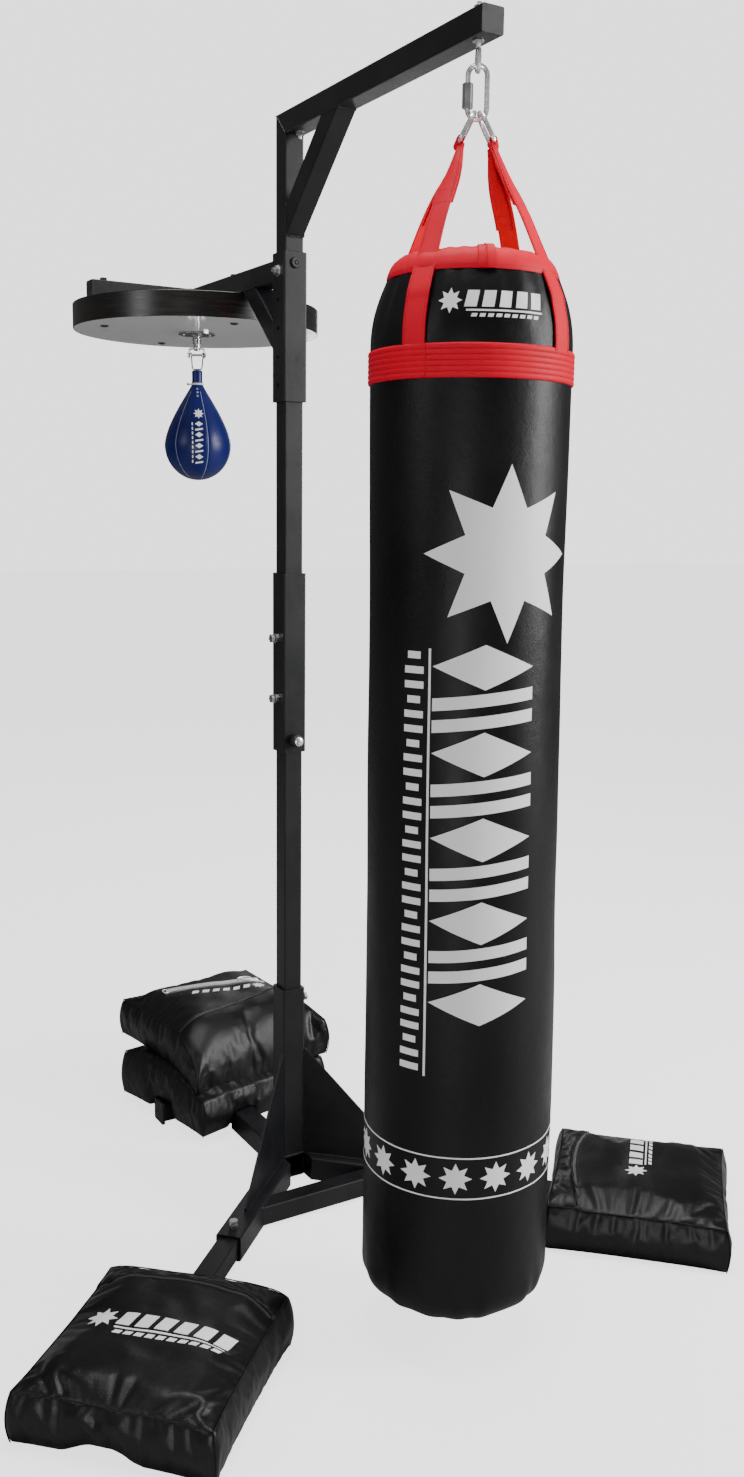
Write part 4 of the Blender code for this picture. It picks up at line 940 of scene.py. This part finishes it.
def speed_point(theta, z, lift=0.0):
    panel = abs(((theta - FACING) * PANELS / (2 * pi) + 0.5) % 1.0 - 0.5) * 2
    seam = -0.0014 * exp(-((1 - panel) / 0.045) ** 2)
    radius = speed_radius(z) + seam * smooth_step(speed_radius(z), 0.005, 0.03) + lift
    return near_speed_axis(theta, radius, z)


def make_speed_bag():
    angles = turns(144)
    bm = bmesh.new()
    levels = [SPEED_WIDE - (SPEED_WIDE - SPEED_BOTTOM) * cos(k / 26 * pi / 2) for k in range(1, 27)]
    levels += span(SPEED_WIDE, COLLAR_Z, 35)[1:]
    rings = [[speed_point(t, z) for t in angles] for z in levels]
    for radius, z in ((0.0140, COLLAR_Z + 0.0045), (0.0133, COLLAR_Z + 0.008), (0.0131, COLLAR_Z + 0.020),
                      (0.0134, NECK_TOP - 0.005), (0.0125, NECK_TOP - 0.001), (0.0090, NECK_TOP)):
        flat = 0.0011 * smooth_step(z, COLLAR_Z + 0.005, NECK_TOP)
        rings.append([near_speed_axis(t, radius - flat * abs(sin(t + HANG_TURN)), z) for t in angles])
    skin(bm, rings)
    piece("speed_bag_skin", bm, "blue", "speed_bag", ["speed_bag_cover", "speed_bag_bladder"], smooth=60)

    bm = bmesh.new()
    for k in range(PANELS):
        theta = FACING + (k + 0.5) * 2 * pi / PANELS
        path = [speed_point(theta, z, 0.0004) for z in span(SPEED_BOTTOM + 0.004, COLLAR_Z - 0.018, 71)]
        rod(bm, path, 0.00055, UP.cross(path[40] - Vector((0, SPEED_Y, 0))).normalized(), sides=8)
    piece("speed_bag_piping", bm, "thread_pale", "speed_bag")

    bm = bmesh.new()
    turned(bm, [(0.0128, 0.0), (0.0155, 0.0003), (0.0163, 0.0018), (0.0162, 0.0036), (0.0150, 0.0050),
                (0.0126, 0.0052)], (0, SPEED_Y, COLLAR_Z - 0.0005), UP, 64, closed=True)
    piece("speed_bag_collar", bm, "collar", "speed_bag")

    bm = bmesh.new()
    out = (-ACROSS * 0.94 - FORWARD * 0.3).normalized()
    turned(bm, [(0.0016, 0.0), (0.0016, 0.006), (0.0030, 0.0065), (0.0030, 0.0105), (0.0018, 0.0115)],
           Vector((0, SPEED_Y, COLLAR_Z + 0.0015)) + out * 0.0155, out, 20)
    theta = FACING + radians(12)
    for k in range(3):
        turned(bm, [(0.0012, 0.0003), (0.0022, 0.0), (0.0026, 0.0004), (0.0022, 0.0009), (0.0014, 0.0008)],
               speed_point(theta, COLLAR_Z - 0.011 - k * 0.009, 0.0002), spoke(theta, 0.5), 20, closed=True)
    piece("speed_bag_eyelets", bm, "chrome", "speed_bag")

    shapes = [star(0.0, 1.838, 0.0130)]
    shapes += [diamond(0.0, 1.812 - k * 0.0270, 0.0200, 0.0130) for k in range(4)]
    shapes += [bar(0.0, 1.7985 - k * 0.0270, 0.0190, 0.0042, rise=0.0030) for k in range(4)]
    shapes += [bar(-0.0165, 1.812 - k * 0.0115, 0.0030, 0.0072) for k in range(9)]

    def on_speed_bag(u, v, lift):
        return speed_point(FACING + radians(14) + u / max(0.03, speed_radius(v)), v, lift + 0.0003)

    decal("speed_bag_print", "speed_bag", shapes, on_speed_bag, cell=0.003, thick=0.0003)


def make_swivel_details():
    plate_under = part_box("platform_board")[0][2] - 0.0043
    bm = bmesh.new()
    for k in range(4):
        turned(bm, [(0.0045, 0.0), (0.0045, 0.0006), (0.0038, 0.0020), (0.0020, 0.0027), (0.0016, 0.0016),
                    (0.0006, 0.0016)], near_speed_axis(radians(45 + 90 * k) + HANG_TURN, 0.033, plate_under), -UP, 20)
    for z, rim, lip, height in ((2.0200, 0.0112, 0.0006, 0.0048), (2.0128, 0.0106, 0.0004, 0.0026)):
        turned(bm, [(0.0098, 0.0), (rim, lip), (rim, height - lip), (0.0098, height)], (0, SPEED_Y, z), UP, 32,
               closed=True)
    # The plate screws and rings also take the darker, painted-shade copy of the chrome.
    piece("swivel_screws", bm, "swivel", "head")


# ================================================================ sandbags
HEM_STEP = 0.0045
CLEAR = 0.0012          # left between a sandbag and the steel under it
HALF_TUBE = 0.0300      # half a tube's width and its clearance
PIPING_R, HEM_R = 0.0013, 0.0021
FOOT_BAR_Y, FOOT_BAR_HALF = 0.4065, 0.178


class Sandbag:
    """A square sewn bag on a lattice of points, inflated as cloth between its seams.

    hem gives the lattice rows of the hem seam at its start, middle and end, and hem_along its direction.
    crown is how far the top domes, droop how far the front edge's top and bottom sink, and roll how far
    the front edge is rounded. channel lists the tubes that hold the underside up: axis, offset, start, stop,
    top. arch is the offset and height of the fold in the outer edge. inner is 0 where the inner edge stays full.
    """
    count, layers = 52, 13

    def __init__(self, body, centre, turn, size, low, high, seed, hem, hem_along, crown, droop=(0.0, 0.0),
                 channel=(), arch=None, roll=0.0, inner=1.0):
        self.body, self.name = body, body.replace("sandbag", "weight_bag")
        self.centre, self.turn = Vector((centre[0], centre[1], 0)), turn
        self.side, self.depth = size
        self.low, self.high, self.channel, self.seed = low, high, channel, seed
        self.crown, self.droop, self.arch, self.roll, self.inner = crown, droop, arch, roll, inner
        self.hem, self.hem_along = hem, hem_along

    def world(self, a, b, z):
        x = a * cos(self.turn) - b * sin(self.turn)
        y = a * sin(self.turn) + b * cos(self.turn)
        return self.centre + Vector((x, y, z))

    def rest_point(self, i, j, k):
        a, b, h = 2 * i / self.count - 1, 2 * j / self.count - 1, k / self.layers
        lean = 1 - 0.035 * (h - 0.45) ** 2 * 4
        x = a * self.side / 2 * (0.970 + 0.030 * abs(b) ** 3) * lean
        y = b * self.depth / 2 * (0.970 + 0.030 * abs(a) ** 3) * lean
        spot = Vector((a * 1.4 + self.seed, b * 1.4, h * 0.6))
        lump = noise.noise(spot * 1.1) * 0.0065 + noise.noise(spot * 2.7) * 0.0028
        edge = (1 - a ** 6 * (1.0 if a > 0 else self.inner)) * (1 - b ** 6)
        x -= (1 - self.inner) * 0.008 * max(0.0, -a) ** 2
        front = smooth_step(-b, 0.15, 1.0) * (1 - 0.35 * smooth_step(a, 0.0, 1.0))
        top = self.high + self.crown * (edge - 1) + lump * (0.3 + 0.7 * edge) - self.droop[0] * front
        top += HEM_STEP * self.outside_hem(i, j)
        top -= self.roll * max(0.0, (-b - 0.55) / 0.45) ** 2 * (1 - 0.8 * smooth_step(a, 0.3, 1.0))
        bottom = self.low + self.raise_at(x, y) - self.droop[1] * front
        return self.world(x, y, bottom + (top - bottom) * h)

    def hem_row(self, t):
        first, middle, last = self.hem
        return first * (1 - t) * (1 - 2 * t) + middle * 4 * t * (1 - t) + last * t * (2 * t - 1)

    def outside_hem(self, i, j):
        """1 on the strip between the hem seam and the bag's edge, 0 on the rest of the top."""
        along, across = (i, j) if self.hem_along == "x" else (j, i)
        return 1 - smooth_step(across - self.hem_row(along / self.count), -0.6, 0.6)

    def raise_at(self, x, y):
        """How far the underside is held up by what the bag lies on."""
        lift = 0.0
        for axis, offset, start, stop, top in self.channel:
            along, across = (x, y) if axis == "x" else (y, x)
            inside = smooth_step(along, start - 0.02, start) * (1 - smooth_step(along, stop, stop + 0.03))
            lift = max(lift, (top - self.low) * inside * (1 - smooth_step(abs(across - offset), 0.031, 0.062)))
        if self.arch:
            offset, height = self.arch
            lift = max(lift, height * smooth_step(x, 0.06, 0.18) * (1 - smooth_step(abs(y - offset), 0.015, 0.085)))
        return lift

    def build(self):
        bm = bmesh.new()
        n, m = self.count, self.layers
        index = {}

        def quad(*corners):
            for key in corners:
                if key not in index:
                    index[key] = bm.verts.new(self.rest_point(*key))
            bm.faces.new([index[key] for key in corners])

        for i in range(n):
            for j in range(n):
                quad((i, j, m), (i + 1, j, m), (i + 1, j + 1, m), (i, j + 1, m))
                quad((i, j, 0), (i, j + 1, 0), (i + 1, j + 1, 0), (i + 1, j, 0))
        for i in range(n):
            for k in range(m):
                quad((i, 0, k), (i + 1, 0, k), (i + 1, 0, k + 1), (i, 0, k + 1))
                quad((i, n, k), (i, n, k + 1), (i + 1, n, k + 1), (i + 1, n, k))
                quad((0, i, k), (0, i, k + 1), (0, i + 1, k + 1), (0, i + 1, k))
                quad((n, i, k), (n, i + 1, k), (n, i + 1, k + 1), (n, i, k + 1))
        bm.verts.index_update()
        self.order = {key: vert.index for key, vert in index.items()}
        self.obj = add_mesh(self.name, bm, "sandbag", smooth=None)
        group = self.obj.vertex_groups.new(name="seam")
        for (i, j, k), number in self.order.items():
            on_seam = (i in (0, n)) + (j in (0, n)) + (k in (0, m)) >= 2
            rolled = self.roll and j == 0 and k == m and 0 < i < n
            if (on_seam and not rolled) or k == 0:
                group.add([number], 1.0, "REPLACE")

    def edge_path(self, keys):
        return [self.obj.data.vertices[self.order[key]].co.copy() for key in keys]

    def hem_path(self, offset, lift=0.0):
        """Line along the hem seam on the top face, offset rows further in."""
        path = []
        for k in range(1, self.count):
            row = self.hem_row(k / self.count) + offset
            low = int(row)
            a, b = self.edge_path([(k, low + j, self.layers) if self.hem_along == "x" else (low + j, k, self.layers)
                                   for j in (0, 1)])
            path.append(a.lerp(b, row - low) + UP * lift)
        return path


def inflate(obj, cap):
    """Blow a sewn shape up as cloth between its pinned seams, then keep the result as plain mesh."""
    modifier = obj.modifiers.new("cloth", "CLOTH")
    for key, value in {"quality": 6, "mass": 0.35, "use_pressure": True, "uniform_pressure_force": 4.0,
                       "shrink_min": -0.035, "vertex_group_mass": "seam", "pin_stiffness": 1.0,
                       "bending_stiffness": 0.35}.items():
        setattr(modifier.settings, key, value)
    modifier.settings.effector_weights.gravity = 0.0
    modifier.collision_settings.use_collision = False
    scene = bpy.context.scene
    for number in range(1, 21):
        scene.frame_set(number)
    blown = obj.evaluated_get(bpy.context.evaluated_depsgraph_get()).to_mesh()
    steps = [after.co - before.co for before, after in zip(obj.data.vertices, blown.vertices)]
    obj.modifiers.remove(modifier)
    for vert, step in zip(obj.data.vertices, steps):
        if step.length > cap:
            step = step.normalized() * (cap * (1 + 0.25 * (1 - cap / step.length)))
        vert.co = vert.co + step
    obj.data.update()
    scene.frame_set(1)


def make_sandbag(bag, cap=0.012):
    bag.build()
    obj = bag.obj
    inflate(obj, cap)
    for vert in obj.data.vertices:
        local = vert.co - bag.centre
        a = local.x * cos(bag.turn) + local.y * sin(bag.turn)
        b = -local.x * sin(bag.turn) + local.y * cos(bag.turn)
        floor = bag.low + 0.0004 - bag.droop[1]
        for axis, offset, start, stop, top in bag.channel:
            along, across = (a, b) if axis == "x" else (b, a)
            over = start - 0.004 < along < stop + 0.004 and abs(across - offset) < HALF_TUBE
            if over and vert.co.z < top + CLEAR:
                floor = max(floor, top + CLEAR)
        vert.co.z = max(vert.co.z, floor)
    subdivide = obj.modifiers.new("smooth", "SUBSURF")
    subdivide.levels = subdivide.render_levels = 1
    attach(obj, bag.body, "sandbag_vinyl", [bag.body])

    n, m = bag.count, bag.layers
    front = [(i, 0, m) for i in range(n)]
    others = [(n, j, m) for j in range(n)] + [(n - i, n, m) for i in range(n)] + [(0, n - j, m) for j in range(n)]
    bm = bmesh.new()
    rod(bm, bag.edge_path(others + [(0, 0, m)] if bag.roll else front + others), PIPING_R, UP, not bag.roll, 8)
    for i, j in ((0, 0), (n, 0), (n, n), (0, n)):
        rod(bm, bag.edge_path([(i, j, k) for k in range(m + 1)]), PIPING_R, Vector((1, 0, 0)), sides=8)
    piece(f"{bag.name}_piping", bm, "sandbag", bag.body, smooth=60)

    bm = bmesh.new()
    rod(bm, bag.hem_path(0.0, 0.0006), HEM_R, UP, sides=8)
    piece(f"{bag.name}_hem", bm, "sandbag", bag.body, smooth=60)
    # Near-black strip just inside the hem ridge: a painted shadow of the fold, not a part of the bag.
    bm = bmesh.new()
    ribbon(bm, bag.hem_path(0.62), 0.0036, 0.0011)
    piece(f"{bag.name}_crease", bm, "crease_shadow", bag.body)
    bm = bmesh.new()
    for offset in (1.3, 1.7):
        path = bag.hem_path(offset, 0.0006)
        stitches(bm, path, [UP] * len(path), pitch=0.0055, length=0.0040, radius=0.0005)
    piece(f"{bag.name}_stitching", bm, "thread_black", bag.body)
    return bag


def make_sandbags():
    low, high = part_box("left_leg_cap")
    leg_top, cap_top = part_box("left_leg")[1][2] + 0.0006, high[2] + 0.0006
    at, bags = 0.846, {}
    cap_start = hypot(low[0], low[1]) - 0.020 - at
    for side, shift, seed in (("left", -0.032, 3.1), ("right", 0.0, 7.7)):
        direction = LEGS[side]
        channel = [("x", shift, -0.30, cap_start - 0.02, leg_top),
                   ("x", shift, cap_start - 0.05, cap_start + 0.012, cap_top)]
        bags[side] = make_sandbag(Sandbag(
            f"{side}_sandbag", direction * at + direction.cross(UP) * shift, atan2(direction.y, direction.x),
            size=(0.392, 0.392), low=0.0, high=0.117, seed=seed, hem=(8.5, 4.6, 8.5), hem_along="y",
            crown=0.019, channel=channel, arch=(shift * 0.65, 0.022), inner=0.0))
    lower = Sandbag("rear_lower_sandbag", (0.027, 0.440), radians(12.5), size=(0.415, 0.370), low=0.022, high=0.147,
                    seed=11.3, hem=(6.0, 5.0, 6.0), hem_along="x", crown=0.004, droop=(0.030, 0.0))
    lower.raise_at = lambda x, y: rear_lift(lower, x, y, cap_top)
    make_sandbag(lower)
    clear_rear_frame(lower.obj, cap_top)
    bags["upper"] = make_sandbag(Sandbag(
        "rear_upper_sandbag", (0.048, 0.485), radians(7.0), size=(0.418, 0.418), low=0.1545, high=0.279,
        seed=17.9, hem=(13.0, 15.5, 19.5), hem_along="x", crown=0.024, droop=(0.026, 0.034), roll=0.052), cap=0.015)
    return bags


def rear_lift(bag, x, y, top):
    """The lower rear bag hangs over the rear leg and over the foot bar."""
    place = bag.world(x, y, 0)
    on_leg = (1 - smooth_step(abs(place.x), 0.031, 0.048)) * (1 - smooth_step(place.y - FOOT_BAR_Y, 0.03, 0.09))
    on_bar = ((1 - smooth_step(abs(place.y - FOOT_BAR_Y), 0.031, 0.060))
              * (1 - smooth_step(abs(place.x) - FOOT_BAR_HALF, 0.0, 0.05)))
    return (top - bag.low) * max(on_leg, on_bar)


def clear_rear_frame(obj, top):
    for vert in obj.data.vertices:
        over_leg = abs(vert.co.x) < HALF_TUBE and vert.co.y < FOOT_BAR_Y + HALF_TUBE
        over_bar = abs(vert.co.y - FOOT_BAR_Y) < HALF_TUBE and abs(vert.co.x) < FOOT_BAR_HALF + 0.002
        if over_leg or over_bar:
            vert.co.z = max(vert.co.z, top + CLEAR)
    obj.data.update()


def on_top_of(bag, spot, lift):
    """The point of a sandbag's top above or below a spot, and lift metres outside it."""
    hit, place, _, _ = bag.obj.ray_cast(Vector((spot.x, spot.y, 0.5)), -UP)
    return Vector((spot.x, spot.y, (place.z if hit else bag.high) + lift))


def make_sandbag_prints(bags):
    shapes = [star(-0.112, 0.004, 0.030), bar(0.030, -0.020, 0.215, 0.0042)]
    shapes += [bar(-0.062 + k * 0.0385, 0.006, 0.027, 0.036, 0.004) for k in range(6)]
    shapes += [bar(-0.066 + k * 0.0215, -0.032, 0.0145, 0.009, 0.002) for k in range(10)]
    for side, push, scale in (("left", 0.0, 1.0), ("right", 0.060, 0.84)):
        away = LEGS[side]
        across = Vector((-away.y, away.x, 0))
        middle = bags[side].centre - away * 0.008 + across * push

        def place(u, v, lift):
            return on_top_of(bags[side], middle + across * u - away * v, lift + 0.0003)

        sized = [[(u * scale, v * scale) for u, v in shape] for shape in shapes]
        decal(f"{side}_bag_print", f"{side}_sandbag", sized, place, cell=0.006)

    turn = radians(-9.5)

    def place_upper(u, v, lift):
        spot = Vector((0.042, 0.497, 0)) + spoke(turn) * u + spoke(turn + pi / 2) * v
        return on_top_of(bags["upper"], spot, lift + 0.0003)

    shapes = [star(0.112, 0.0, 0.018)] + [bar(0.078 - k * 0.029, 0.0, 0.018, 0.016, 0.003) for k in range(6)]
    decal("rear_bag_print", "rear_upper_sandbag", shapes, place_upper, cell=0.006)


def make_zip(bags):
    """Metal zip on the upper rear bag: tape, two rows of teeth, slider with a pull, end stop."""
    start, end = Vector((-0.088, 0.559, 0)), Vector((0.187, 0.513, 0))
    along = (end - start).normalized()
    side = Vector((-along.y, along.x, 0))
    body = "rear_upper_sandbag"

    def lay(t, across, lift):
        return on_top_of(bags["upper"], start.lerp(end, t) + side * across, lift)

    bm = bmesh.new()
    section = ((-0.0170, 0.0002), (-0.0165, 0.0012), (0.0, 0.0015), (0.0165, 0.0012), (0.0170, 0.0002), (0.0, -0.0010))
    skin(bm, [[lay(t, a, h) for a, h in section] for t in span(-0.02, 1.02, 61)])
    piece("zip_tape", bm, "thread_black", body)
    bm = bmesh.new()
    count = 110
    for k in range(count):
        for t, across in ((k / count, -0.0030), ((k + 0.5) / count, 0.0030)):
            centre = lay(t, across, 0.0032)
            a, b, c = along * 0.0011, side * 0.0042, UP * 0.0019
            skin(bm, [[end_face - b - c, end_face + b - c, end_face + b + c, end_face - b + c]
                      for end_face in (centre - a, centre + a)])
    piece("zip_teeth", bm, "zip", body)
    bm = bmesh.new()
    slider_at = 0.88
    spot = lay(slider_at, 0.0, 0.0056)
    skin(bm, [hoop(spot + along * t, side * width, UP * height, 20) for t, width, height in
              ((-0.013, 0.0060, 0.0024), (-0.008, 0.0095, 0.0038), (0.008, 0.0100, 0.0038), (0.014, 0.0074, 0.0024))])
    length = (end - start).length
    tab = [lay(slider_at - (0.024 + 0.0200 * cos(q)) / length, 0.0090 * sin(q), 0.0085) for q in turns(28)]
    rod(bm, tab, 0.0021, UP, True, 8)
    rod(bm, hoop(lay(-0.01, 0.0, 0.0034), side * 0.012, along * 0.008, 24), 0.0018, UP, True, 8)
    piece("zip_slider", bm, "zip", body)


# ================================================================ studio
def add_area(name, location, target, size, power, tall=None):
    data = bpy.data.lights.new(name, "AREA")
    data.shape = "RECTANGLE"
    data.size, data.size_y = size, tall or size
    data.energy = power
    light = bpy.data.objects.new(name, data)
    light.location = location
    light.rotation_euler = (Vector(target) - Vector(location)).to_track_quat("-Z", "Y").to_euler()
    bpy.context.collection.objects.link(light)


def make_studio():
    bm = bmesh.new()
    bmesh.ops.create_grid(bm, x_segments=2, y_segments=2, size=30.0)
    bmesh.ops.translate(bm, verts=bm.verts, vec=(0, 0, -0.0004))
    add_mesh("floor", bm, "floor", smooth=None, recalc=False)

    world = bpy.data.worlds.new("studio")
    bpy.context.scene.world = world
    world.use_nodes = True
    nodes, links = world.node_tree.nodes, world.node_tree.links
    background = nodes["Background"]
    background.inputs["Color"].default_value = (1.0, 1.0, 1.0, 1.0)
    strength = nodes.new("ShaderNodeMapRange")
    strength.inputs["To Min"].default_value = 0.13
    strength.inputs["To Max"].default_value = 2.1
    links.new(nodes.new("ShaderNodeLightPath").outputs["Is Camera Ray"], strength.inputs["Value"])
    links.new(strength.outputs["Result"], background.inputs["Strength"])

    add_area("key_light", (3.5, -3.2, 2.6), (0.0, -0.5, 1.1), 1.4, 340, 3.2)
    add_area("front_light", (-3.4, -4.4, 0.8), (0.0, -0.2, 1.6), 1.6, 75)
    add_area("side_light", (-4.4, -0.8, 2.9), (0.0, -0.3, 1.0), 1.2, 45, 2.4)
    add_area("top_light", (0.0, -0.4, 4.8), (0.0, -0.2, 0.0), 2.4, 170)
    add_area("back_light", (2.6, 3.8, 2.4), (0.0, 0.0, 1.3), 1.0, 22, 2.0)

    yaw, pitch, roll = radians(30.992), radians(9.876), radians(0.704)
    forward = Vector((sin(yaw) * cos(pitch), cos(yaw) * cos(pitch), -sin(pitch)))
    level_right = Vector((cos(yaw), -sin(yaw), 0))
    right = level_right * cos(roll) + level_right.cross(forward) * sin(roll)
    rotation = Matrix((right, right.cross(forward), -forward)).transposed()
    data = bpy.data.cameras.new("camera")
    data.sensor_width = 36.0
    data.lens = 31.92349
    data.clip_start = 0.05
    camera = bpy.data.objects.new("camera", data)
    camera.matrix_world = Matrix.Translation((-1.3758, -2.6642, 1.6039)) @ rotation.to_4x4()
    bpy.context.collection.objects.link(camera)
    bpy.context.scene.camera = camera


def main():
    dress_cad_nodes()
    make_welds()
    make_fasteners()
    make_board()
    make_bag_shell()
    make_crown()
    make_band()
    make_straps()
    make_prints()
    make_speed_bag()
    make_swivel_details()
    bags = make_sandbags()
    make_sandbag_prints(bags)
    make_zip(bags)
    make_studio()


main()
